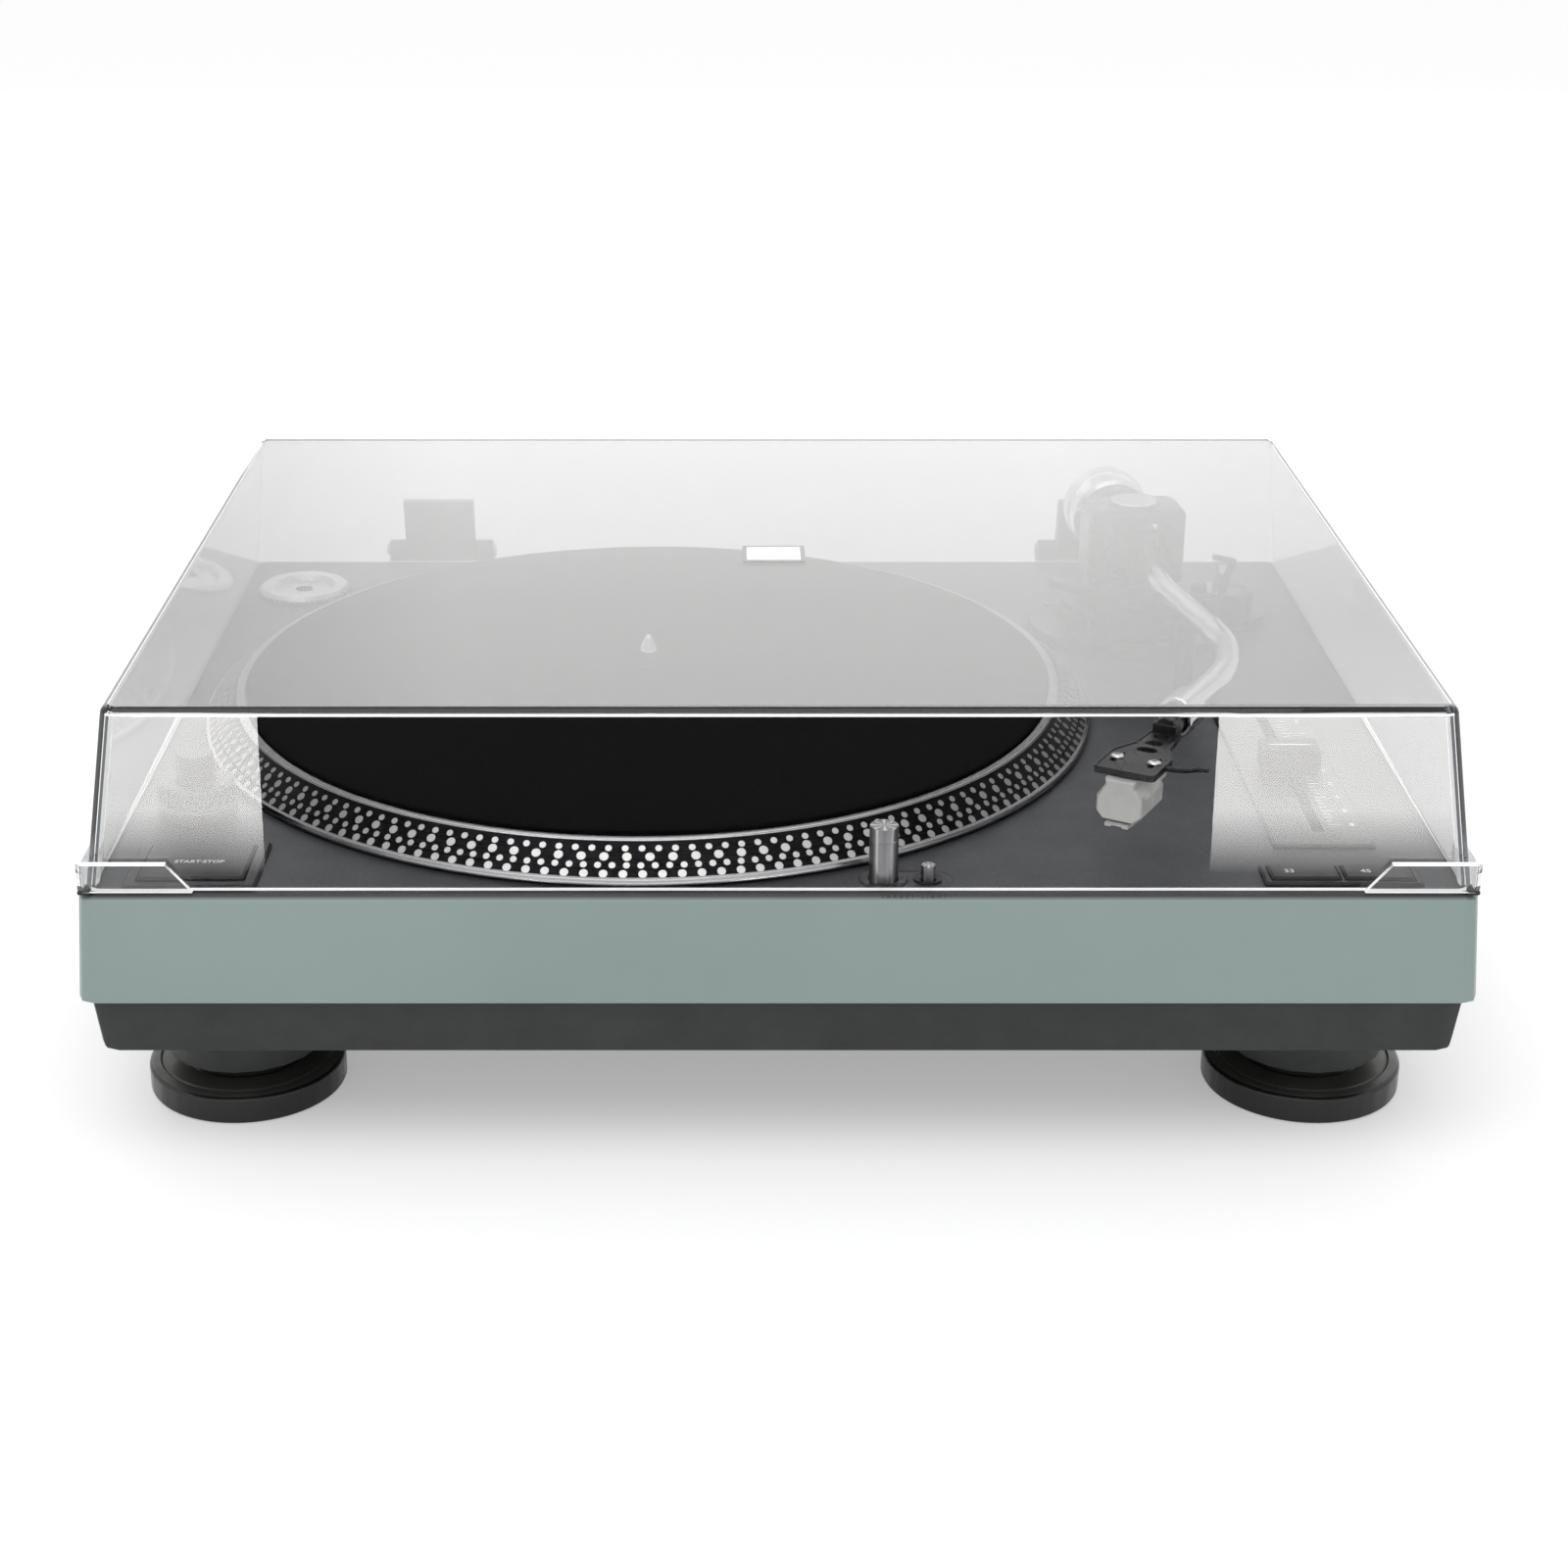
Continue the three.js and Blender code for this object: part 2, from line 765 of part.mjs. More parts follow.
function plinthTop() {
  const outer = loft([
    { outline: caseOutline(-plinthFlare), high: -plinthHeight },
    { outline: caseOutline(0), high: -plinthChamfer },
    { outline: caseOutline(plinthChamfer), high: 0 },
  ]);
  const cavity = loft([
    { outline: caseOutline(plinthWall - plinthFlare, plinthCorner / 2), high: -plinthHeight - overrun },
    { outline: caseOutline(plinthWall, plinthCorner / 2), high: -deckThickness },
  ]);
  const wellBottom = -wellDepth - wellFloor;
  const cup = disc(wellRadius + wellWall, wellBottom, -deckThickness / 2, platterX, platterY, wellSides);
  const adapterFloor = adapterProud - adapterHeight - seatGap;
  const adapterBoreRadius = adapterRadius + slideGap;
  const adapterCup = disc(adapterBoreRadius + adapterWall, adapterFloor - adapterWall, -deckThickness / 2,
    adapterX, back(adapterBack));
  const pillars = pillarPlaces.map(([x, y]) => (
    disc(pillarRadius, -plinthHeight, -deckThickness / 2, x, y, coarseSides)));
  const pocketBoxes = [-hingeX, hingeX].map((x) => block(
    around(x, hingeWidth + 2 * pocketWall),
    [back(hingeBlockFront) - pocketWall, back(plinthDepth) - plinthWall / 2],
    [-hingeTongueDepth - pocketWall, -deckThickness / 2],
  ));
  const body = join(cut(outer, cavity), cup, adapterCup, ...pillars, ...pocketBoxes);
  return cut(
    body,
    disc(wellRadius, -wellDepth, overrun, platterX, platterY, wellSides),
    disc(bearingRadius + seatGap, wellBottom - overrun, overrun, platterX, platterY, boreSides),
    disc(adapterBoreRadius, adapterFloor, overrun, adapterX, back(adapterBack)),
    ...deckOpenings(),
    ...hingePockets(),
    ...rearOpenings(),
  );
}

function basePan() {
  const low = panLow;
  const side = panInset + panTaper;
  const outline = (inset, corner = plinthCorner) => caseOutline(inset, corner);
  const roundShares = [[1, 0], [bevelShare, bevelShare], [0, 1]];
  const outer = loft([
    ...roundShares.map(([inward, upward]) => (
      { outline: outline(side + inward * panEdge), high: low + upward * panEdge })),
    { outline: outline(panInset), high: -plinthHeight },
  ]);
  const cavity = loft([
    { outline: outline(side + panWall, plinthCorner / 2), high: low + panFloor },
    { outline: outline(panInset + panWall, plinthCorner / 2), high: -plinthHeight },
    { outline: outline(panInset + panWall, plinthCorner / 2), high: -plinthHeight + overrun },
  ]);
  const bossBottom = low - panBossHeight;
  const bosses = footPlaces.map(([, x, y]) => revolve([
    [0, bossBottom],
    [panBossRadius, bossBottom],
    [panBossRadius + panBossFlare, low + panFloor / 2],
    [0, low + panFloor / 2],
  ]).translate(x, y, 0));
  const innerBosses = footPlaces.map(([, x, y]) => (
    disc(2 * footStudRadius, low + panFloor / 2, low + panFloor + panBossInside, x, y, coarseSides)));
  const posts = pillarPlaces.map(([x, y]) => (
    disc(pillarRadius, low + panFloor / 2, -plinthHeight, x, y, coarseSides)));
  const boardFeet = boardPosts().map(([x, y]) => (
    disc(boardStandoffRadius, low + panFloor / 2, low + panFloor + boardStandoff, x, y, coarseSides)));
  const bores = footPlaces.map(([, x, y]) => (
    disc(footStudRadius + slideGap, bossBottom - overrun, 0, x, y, pinSides)));
  const vents = [];
  for (let index = 0; index < ventCount; index += 1) {
    const y = back(ventBack) + (index - (ventCount - 1) / 2) * ventPitch;
    vents.push(block(around(ventX, ventLength), around(y, ventWidth), [low - overrun, low + overrun]));
  }
  return cut(join(cut(outer, cavity), ...bosses, ...innerBosses, ...posts, ...boardFeet), ...bores, ...vents);
}

function foot() {
  const neckTop = footHeight - panBossHeight - seatGap;
  return revolve([
    [0, 0],
    [footRadius, 0],
    [footRadius, footThickness - footChamfer],
    [footRadius - footChamfer, footThickness],
    [footNeckRadius, footThickness + footCrown],
    [footNeckRadius, neckTop],
    [footStudRadius, neckTop],
    [footStudRadius, neckTop + footStudLength],
    [0, neckTop + footStudLength],
  ]);
}

// Platter and motor

function platter() {
  const lipTop = platterTop + platterLip;
  const rimTop = rimClearance + rimHeight;
  const underPlate = platterTop - platterPlate;
  const lipInner = platterLipRadius - platterLipWidth;
  const bore = spindleRadius + runningGap;
  const wheel = revolveRing([
    [bore, platterTop],
    [lipInner, platterTop],
    [lipInner, lipTop],
    [platterLipRadius, lipTop],
    [platterLipRadius + (lipTop - bandHigh), bandHigh],
    [bandRadius, bandLow],
    [platterRadius, rimTop],
    [platterRadius, rimClearance],
    [skirtRadius, rimClearance],
    [skirtRadius - platterLip, -skirtDepth],
    [skirtRadius - skirtWidth, -skirtDepth],
    [skirtRadius - skirtWidth, underPlate],
    [hubRadius, underPlate],
    [hubRadius, -hubDepth],
    [bore, -hubDepth],
  ], fineSides);
  const ribs = [];
  const ribReach = skirtRadius - skirtWidth / 2;
  for (let index = 0; index < ribCount; index += 1) {
    const ribHeights = [underPlate - ribDepth, platterTop - platterLip];
    const rib = block([hubRadius - ribWidth, ribReach], around(0, ribWidth), ribHeights);
    ribs.push(rib.rotateZ((index / ribCount) * Math.PI * 2));
  }
  return join(wheel, ...ribs);
}

function slipmat() {
  const radius = platterLipRadius - platterLipWidth - seatGap;
  return revolveRing([
    [spindleRadius + seatGap, 0],
    [radius, 0],
    [radius, matThickness - matEdge],
    [radius - matEdge, matThickness],
    [spindleRadius + seatGap, matThickness],
  ], fineSides);
}

function spindle() {
  return revolve([
    [0, -bearingLow + bearingFloor + seatGap],
    [spindleRadius, -bearingLow + bearingFloor + seatGap],
    [spindleRadius, spindleTop - spindleTip],
    [spindleTipRadius, spindleTop],
    [0, spindleTop],
  ], boreSides);
}

function ring(inner, outer, low, high, sides = roundSides) {
  return revolveRing([[inner, low], [outer, low], [outer, high], [inner, high]], sides);
}

function rotorMagnet() {
  return ring(magnetInner, magnetOuter, -hubDepth - magnetHeight, -hubDepth, boreSides);
}

function bearingHousing() {
  const bore = spindleRadius + runningGap;
  return revolve([
    [0, -bearingLow],
    [bearingRadius, -bearingLow],
    [bearingRadius, -wellDepth],
    [bearingFlange, -wellDepth],
    [bearingFlange, -wellDepth + bearingFlangeHeight],
    [bearingRadius, -wellDepth + bearingFlangeHeight],
    [bearingRadius, -bearingHigh],
    [bore, -bearingHigh],
    [bore, -bearingLow + bearingFloor],
    [0, -bearingLow + bearingFloor],
  ], boreSides);
}

function statorBoardWithCoils() {
  const boardLow = -wellDepth + statorStandoff;
  const boardTop = boardLow + statorBoard;
  const pieces = [ring(statorHole, statorRadius, boardLow, boardTop, boreSides)];
  for (let index = 0; index < coilCount; index += 1) {
    const angle = (index / coilCount) * Math.PI * 2;
    const [x, y] = [coilRing * Math.cos(angle), coilRing * Math.sin(angle)];
    pieces.push(disc(coilRadius, boardTop - statorBoard / 2, boardTop + coilHeight, x, y, wireSides));
  }
  for (let index = 0; index < statorStandoffCount; index += 1) {
    const angle = ((index + 1 / 2) / statorStandoffCount) * Math.PI * 2;
    const reach = statorRadius - statorStandoffRadius;
    pieces.push(disc(statorStandoffRadius, -wellDepth, boardTop - statorBoard / 2,
      reach * Math.cos(angle), reach * Math.sin(angle), wireSides));
  }
  return join(...pieces);
}

// Cover and hinges

function coverShell(offset, low, high, edge) {
  const side = plinthWidth / 2 - coverInset;
  const fullHeight = coverTop - coverLift;
  const level = (z, extra) => {
    const rise = (z - coverLift) / fullHeight;
    const x = side - offset - extra - rise * coverSideTaper;
    const front = back(coverFront) + offset + extra + rise * coverFrontTaper;
    const rear = back(coverFront + coverDepth) - offset - extra - rise * coverRearTaper;
    const outline = roundedOutline([-x, x], [front, rear], coverCorner - offset / 2, coverCornerSteps);
    return { outline, high: z };
  };
  const roundShares = [[0, 1], [bevelShare, bevelShare], [1, 0]];
  const top = roundShares.map(([inward, downward]) => level(high - downward * edge, inward * edge));
  return loft([level(low, 0), ...top]);
}

function coverLug(side) {
  const outer = plinthWidth / 2 - coverInset + lugProud;
  const front = back(coverFront);
  const high = coverLift + lugHeight;
  const face = [
    [side * outer, coverLift],
    [side * (outer - lugLength), coverLift],
    [side * (outer - lugLength + lugSlant), high],
    [side * outer, high],
  ];
  const flank = [
    [front - lugProud, coverLift],
    [front + lugSide, coverLift],
    [front + lugSide - lugSlant, high],
    [front - lugProud, high],
  ];
  const inner = outer - lugProud - coverWall / 2;
  return join(
    prismY(face, front - lugProud, front + coverWall / 2),
    prismX(flank, Math.min(side * inner, side * outer), Math.max(side * inner, side * outer)),
  );
}

function dustCover() {
  const outer = coverShell(0, coverLift, coverTop, coverEdge);
  const inner = coverShell(coverWall, coverLift - overrun, coverTop - coverWall, coverEdge / 2);
  return cut(join(outer, coverLug(-1), coverLug(1)), inner);
}

function coverBumper() {
  const round = bumperWidth / 4;
  return slab(around(0, bumperWidth), around(0, bumperDepth), -bumperHeight, 0, round, bumperHeight / 4);
}

const leafFront = back(coverFront + coverDepth) - back(hingePivotBack) + seatGap;

function hingeLeaf() {
  const slope = coverRearTaper / (coverTop - coverLift);
  const low = -hingeKnuckle / 2;
  const high = hingeLeafHeight - hingePivotHigh;
  const frontAt = (z) => leafFront - (z + hingePivotHigh - coverLift) * slope;
  const rearAt = (z) => frontAt(z) + hingeLeafThickness;
  const corner = high - hingeLeafRound * bevelShare;
  const profile = [
    [frontAt(low), low],
    [0, low],
    [rearAt(0), 0],
    [rearAt(high - hingeLeafRound), high - hingeLeafRound],
    [rearAt(corner) - hingeLeafRound * bevelShare, corner],
    [rearAt(high) - hingeLeafRound, high],
    [frontAt(high), high],
  ];
  const half = hingeBlockWidth / 2;
  const leaf = join(prismX(profile, -half, half), barX(hingeKnuckle, -half, half, 0, 0, boreSides));
  return cut(leaf, barX(hingePinRadius + runningGap, -half - overrun, half + overrun, 0, 0, pinSides));
}

function hingeBase() {
  const front = back(hingeBlockFront) - back(hingePivotBack);
  const rear = back(plinthDepth) + hingeOverhang - back(hingePivotBack);
  const deckLevel = -hingePivotHigh;
  const half = hingeWidth / 2;
  const inner = hingeBlockWidth / 2 + seatGap;
  const tongue = block([-half, half], [front, rear], [deckLevel - hingeTongueDepth, deckLevel]);
  const ears = [[-half, -inner], [inner, half]].flatMap((limits) => [
    block(limits, [-hingeKnuckle, hingeKnuckle], [deckLevel - hingeKnuckle / 2, 0]),
    barX(hingeKnuckle, ...limits, 0, 0, boreSides),
  ]);
  const pinHole = barX(hingePinRadius + runningGap, -half - overrun, half + overrun, 0, 0, pinSides);
  return cut(join(tongue, ...ears), pinHole);
}

function hingePin() {
  const half = hingeWidth / 2 + seatGap;
  const end = half + pinHeadLength;
  return join(
    barX(hingePinRadius, -half - pinHeadLength / 2, half + pinHeadLength / 2, 0, 0, pinSides),
    barX(pinHeadRadius, -end, -half, 0, 0, pinSides),
    barX(pinHeadRadius, half, end, 0, 0, pinSides),
  );
}

// Controls

function adapter() {
  const top = adapterProud;
  const low = adapterProud - adapterHeight;
  return revolveRing([
    [adapterBore, low],
    [adapterRadius, low],
    [adapterRadius, top - adapterLip],
    [adapterRadius - adapterLip, top],
    [adapterDishRadius, top],
    [adapterDishRadius - adapterDishDepth, top - adapterDishDepth],
    [adapterBore, top - adapterDishDepth],
  ], knobSides);
}

function buttonFrame(width, length, border, height, step) {
  const outer = slab(around(0, width), around(0, length), 0, height, startCorner, step);
  const skirtWide = width - 2 * border + 2 * skirtThickness;
  const skirtLong = length - 2 * border + 2 * skirtThickness;
  const skirt = block(around(0, skirtWide), around(0, skirtLong), [-frameSkirtDepth, step / 2]);
  const opening = block(around(0, width - 2 * border), around(0, length - 2 * border),
    [-frameSkirtDepth - overrun, height + overrun]);
  return cut(join(outer, skirt), opening);
}

function pushButton(width, length, proud) {
  return slab(around(0, width - 2 * slideGap), around(0, length - 2 * slideGap),
    -buttonDepth, proud, startCorner / 2, buttonEdge);
}

function speedFrame() {
  const frame = buttonFrame(speedFrameWidth, speedFrameLength, speedBorder, speedFrameHeight, startStep);
  const bridge = block(around(0, speedButtonGap), around(0, speedFrameLength - speedBorder),
    [-frameSkirtDepth, speedFrameHeight]);
  return join(frame, bridge);
}

const speedOpening = speedFrameWidth - 2 * speedBorder;
const speedButtonWidth = (speedOpening - speedButtonGap) / 2;

function pitchPlate() {
  const plate = slab(around(0, pitchPlateWidth), around(0, pitchPlateLength), 0, pitchPlateHeight,
    startCorner, startStep);
  const slot = block(around(0, pitchSlotWidth), around(0, 2 * pitchTravel + pitchStemLength + 2 * slideGap),
    [-overrun, overrun]);
  return cut(plate, slot);
}

function pitchKnob() {
  const low = pitchPlateHeight + pitchKnobLift;
  const half = pitchKnobLength / 2;
  const crest = low + pitchKnobHeight;
  const profile = [
    [-half, low],
    [half, low],
    [half - buttonEdge, crest],
    [half / 3, crest - pitchKnobDip],
    [0, crest],
    [-half / 3, crest - pitchKnobDip],
    [-half + buttonEdge, crest],
  ];
  const cap = prismX(profile, -pitchKnobWidth / 2, pitchKnobWidth / 2);
  const stemHeights = [-pitchStemDepth, low + pitchKnobDip];
  const stem = block(around(0, pitchStemWidth), around(0, pitchStemLength), stemHeights);
  return join(cap, stem);
}

function pitchPot() {
  const length = pitchPlateLength - 2 * pitchPotMargin;
  const body = block(around(0, pitchPotWidth), around(0, length), [-pitchPotDepth - seatGap, -seatGap]);
  const slot = block(around(0, pitchSlotWidth), around(0, 2 * pitchTravel + pitchStemLength + 2 * slideGap),
    [-pitchStemDepth - slideGap, overrun]);
  return cut(body, slot);
}

function strobeTower() {
  const post = revolve([
    [0, -towerBelow],
    [towerRadius, -towerBelow],
    [towerRadius, 0],
    [powerFlangeRadius, 0],
    [powerFlangeRadius, powerFlangeHeight],
    [towerRadius, powerFlangeHeight],
    [towerRadius, towerTop - buttonEdge],
    [towerRadius - buttonEdge, towerTop],
    [0, towerTop],
  ]);
  const window = block([towerRadius - lensDepth, towerRadius + overrun], around(0, lensWidth),
    [lensTop - lensHeight, lensTop]).rotateZ(Math.atan2(platterY - back(towerBack), platterX - towerX));
  return cut(post, window);
}

function strobeLens() {
  const pane = block([towerRadius - lensDepth + seatGap, towerRadius], around(0, lensWidth - 2 * seatGap),
    [lensTop - lensHeight + seatGap, lensTop - seatGap]);
  return pane.rotateZ(Math.atan2(platterY - back(towerBack), platterX - towerX));
}

function powerKnob() {
  const low = powerFlangeHeight + seatGap;
  const high = low + powerKnobHeight;
  return revolveRing([
    [towerRadius + slideGap, low],
    [powerKnobRadius, low],
    [powerKnobRadius, low + powerKnobHeight / 3],
    [powerKnobRadius - powerKnobStep, low + powerKnobHeight / 3 + powerKnobStep],
    [powerKnobRadius - powerKnobStep, high - buttonEdge],
    [powerKnobRadius - powerKnobStep - buttonEdge, high],
    [towerRadius + slideGap, high],
  ], knobSides);
}

function lightSleeve() {
  const bore = lightRadius + slideGap;
  const outer = bore + sleeveWall;
  const depth = lightBelow + lightTravel + sleeveMargin;
  return revolveRing([
    [bore, -depth],
    [outer, -depth],
    [outer, 0],
    [outer + sleeveFlange, 0],
    [outer + sleeveFlange / 2, sleeveFlangeHeight],
    [bore, sleeveFlangeHeight],
  ], boreSides);
}

function stylusLight() {
  const body = revolve([
    [0, -lightBelow],
    [lightRadius, -lightBelow],
    [lightRadius, lightTop - buttonEdge / 2],
    [lightRadius - buttonEdge / 2, lightTop],
    [0, lightTop],
  ], boreSides);
  const toSpindle = Math.atan2(platterY - back(lightBack), platterX - lightX);
  const high = lightTop - lightWindowDrop;
  const window = block([lightRadius - lightWindowDepth, lightRadius + overrun], around(0, lightWindowWidth),
    [high - lightWindowHeight, high]).rotateZ(toSpindle);
  return cut(body, window);
}

function catchDish() {
  const bore = catchRadius + slideGap;
  const depth = catchBelow + catchTravel + catchMargin;
  return revolveRing([
    [bore, -depth],
    [bore + dishWall, -depth],
    [bore + dishWall, 0],
    [dishRadius, 0],
    [dishRadius, dishHeight],
    [dishRadius - dishWall / 2, dishHeight],
    [bore, dishHeight / 3],
  ], pinSides);
}

function catchButton() {
  return revolve([
    [0, -catchBelow],
    [catchRadius, -catchBelow],
    [catchRadius, catchTop - buttonEdge / 2],
    [catchRadius - buttonEdge / 2, catchTop],
    [0, catchTop],
  ], pinSides);
}

// Tonearm, in a frame whose zero is at the deck's top under the arm's pivot

function polar(ringRadius, inwardDegrees) {
  const angle = radians(inwardDegrees);
  return [-ringRadius * Math.sin(angle), -ringRadius * Math.cos(angle)];
}

function armBase() {
  const [lobeX, lobeY] = [skateX, skateY];
  const plate = join(
    disc(armBaseRadius, 0, armBaseHeight, 0, 0, wellSides),
    disc(skateLobe, 0, armBaseHeight, lobeX, lobeY),
    block([0, lobeX], around(lobeY, 2 * skateLobe), [0, armBaseHeight]),
  );
  return cut(
    plate,
    disc(columnRadius + slideGap, -overrun, armBaseHeight + overrun),
    disc(skateStemRadius + slideGap, armBaseHeight / 2, armBaseHeight + overrun, lobeX, lobeY, pinSides),
  );
}

function heightRing() {
  const low = armBaseHeight + seatGap;
  const high = low + heightRingHeight;
  const inner = columnRadius + slideGap;
  return revolveRing([
    [inner, low],
    [heightRingRadius, low],
    [heightRingRadius, low + heightRingGrip],
    [heightRingRadius - heightRingStep, low + heightRingGrip + heightRingStep],
    [heightRingRadius - heightRingStep, high],
    [inner, high],
  ], knobSides);
}

function armColumn() {
  const flangeLow = columnTop - columnFlangeHeight;
  return revolve([
    [0, -columnBelow],
    [columnRadius, -columnBelow],
    [columnRadius, flangeLow],
    [columnFlangeRadius, flangeLow],
    [columnFlangeRadius, columnTop],
    [yokeShaftRadius + runningGap, columnTop],
    [yokeShaftRadius + runningGap, armBaseHeight],
    [0, armBaseHeight],
  ]);
}

const liftTopRest = armHigh - tubeRadius - seatGap;

function liftHousing() {
  const [barrelX, barrelY] = polar(liftRing, liftPostDegrees);
  const [leverX, leverY] = polar(leverRing, -leverDegrees);
  const top = bracketLow + bracketHeight;
  const spoke = (reach, degrees) => block(around(0, bracketWidth), [-reach, -columnRadius - bracketWidth / 4],
    [bracketLow, top]).rotateZ(-radians(degrees));
  const postLimits = around(leverX - leverHubWidth, leverHubWidth);
  const pieces = join(
    ring(columnRadius + seatGap, bracketRadius, bracketLow, top, boreSides),
    spoke(liftRing, liftPostDegrees),
    spoke(leverRing, -leverDegrees),
    disc(liftBarrelRadius, liftBarrelLow, top + bracketHeight / 2, barrelX, barrelY, pinSides),
    block(postLimits, around(leverY, 2 * leverHubRadius), [bracketLow, leverHigh]),
    barX(leverHubRadius, leverX - leverPinReach, leverX - leverHubWidth / 2, leverY, leverHigh, pinSides),
  );
  return cut(
    pieces,
    disc(liftPostRadius + slideGap, liftBarrelLow + seatGap, armHigh, barrelX, barrelY, pinSides),
    barX(leverPinRadius + runningGap, leverX - leverPinReach - overrun, leverX, leverY, leverHigh, pinSides),
  );
}

function liftPlatform() {
  const inner = [];
  const outer = [];
  for (let index = 0; index <= liftBarSteps; index += 1) {
    const degrees = -liftOuterDegrees + ((liftOuterDegrees + liftInnerDegrees) * index) / liftBarSteps;
    inner.push(polar(liftRing - liftBarWidth / 2, degrees));
    outer.push(polar(liftRing + liftBarWidth / 2, degrees));
  }
  const bar = prism([...outer, ...inner.reverse()], liftTopRest - liftBarHeight, liftTopRest);
  const [x, y] = polar(liftRing, liftPostDegrees);
  const postLow = liftBarrelLow + seatGap + liftTravel + seatGap;
  return join(bar, disc(liftPostRadius, postLow, liftTopRest - liftBarHeight / 2, x, y, pinSides));
}

function liftLever() {
  const hub = barX(leverHubRadius, -leverHubWidth / 2 + seatGap, leverHubWidth / 2, 0, 0, pinSides);
  const pin = barX(leverPinRadius, -leverPinReach, 0, 0, 0, pinSides);
  const arm = block(around(0, leverThickness), [-leverLength, 0], around(0, leverThickness));
  const end = barX(leverEnd, -leverHubWidth / 2 + seatGap, leverHubWidth / 2, -leverLength, 0, pinSides);
  return join(hub, pin, arm, end);
}

function yoke() {
  const low = columnTop + seatGap;
  const body = slab(around(0, yokeWidth), around(0, yokeDepth), low, yokeHigh, yokeRound, yokeRound / 2);
  const tunnel = block(around(0, yokeWidth - 2 * yokeWall), [-yokeDepth, yokeDepth],
    [low + yokeFloor, yokeHigh - yokeBridge]);
  const shaft = disc(yokeShaftRadius, armBaseHeight + seatGap, low + yokeFloor / 2);
  const cap = disc(yokeCapRadius, yokeHigh - yokeBridge / 2, yokeHigh + yokeCapHeight, 0, 0, knobSides);
  const bores = barX(gimbalPinRadius + runningGap, -gimbalWidth / 2 - slideGap - gimbalPinReach,
    gimbalWidth / 2 + slideGap + gimbalPinReach, 0, armHigh, pinSides);
  return cut(cut(join(body, shaft, cap), tunnel), bores);
}

function gimbal() {
  const half = gimbalHeight / 2;
  const round = yokeRound / 2;
  const body = slab(around(0, gimbalWidth), around(0, gimbalDepth), -half, half, round, buttonEdge);
  const reach = gimbalWidth / 2 + gimbalPinReach;
  const pins = barX(gimbalPinRadius, -reach, reach, 0, 0, pinSides);
  const stub = barY(stubRadius, gimbalDepth / 4, stubLength, 0, 0, boreSides);
  return join(body, pins, stub);
}

const stylusPlace = new THREE.Vector2(stylusShare[0] * armReach, stylusShare[1] * armReach);
const headAngle = radians(headAngleDegrees);
const headBack = new THREE.Vector2(Math.sin(headAngle), Math.cos(headAngle));

function tubeCurve() {
  const start = gimbalDepth / 2 + seatGap;
  const points = [new THREE.Vector3(0, -start, 0)];
  straightShares.forEach((share) => points.push(new THREE.Vector3(0, -share * armReach, 0)));
  bendShares.forEach(([x, y]) => points.push(new THREE.Vector3(x * armReach, -y * armReach, 0)));
  for (let index = tubeRunCount - 1; index >= 0; index -= 1) {
    const place = stylusPlace.clone().addScaledVector(headBack, tubeEndRun + index * tubeRunStep);
    points.push(new THREE.Vector3(place.x, place.y, 0));
  }
  return new THREE.CatmullRomCurve3(points);
}

function armTube() {
  return roundBar(tubeCurve(), tubeRadius, tubeSides, tubeSteps);
}

function counterweight() {
  const bore = stubRadius + slideGap;
  const high = weightLength;
  const half = high / 2;
  return revolveRing([
    [bore, -weightDialLength - seatGap],
    [weightHubRadius, -weightDialLength - seatGap],
    [weightHubRadius, 0],
    [weightRadius - weightChamfer, 0],
    [weightRadius, weightChamfer],
    [weightRadius, half - weightGroove],
    [weightRadius - weightGroove, half],
    [weightRadius, half + weightGroove],
    [weightRadius, high - weightChamfer],
    [weightRadius - weightChamfer, high],
    [bore, high],
  ]).rotateX(-Math.PI / 2);
}

function weightDial() {
  const body = ring(weightHubRadius + slideGap, weightDialRadius, 0, weightDialLength);
  return body.rotateX(-Math.PI / 2);
}

function collar() {
  const inner = tubeRadius + slideGap;
  return revolveRing([
    [inner, 0],
    [collarRadius - collarEdge, 0],
    [collarRadius, collarEdge],
    [collarRadius, collarLength - collarEdge],
    [collarRadius - collarEdge, collarLength],
    [inner, collarLength],
  ], boreSides).rotateX(-Math.PI / 2);
}

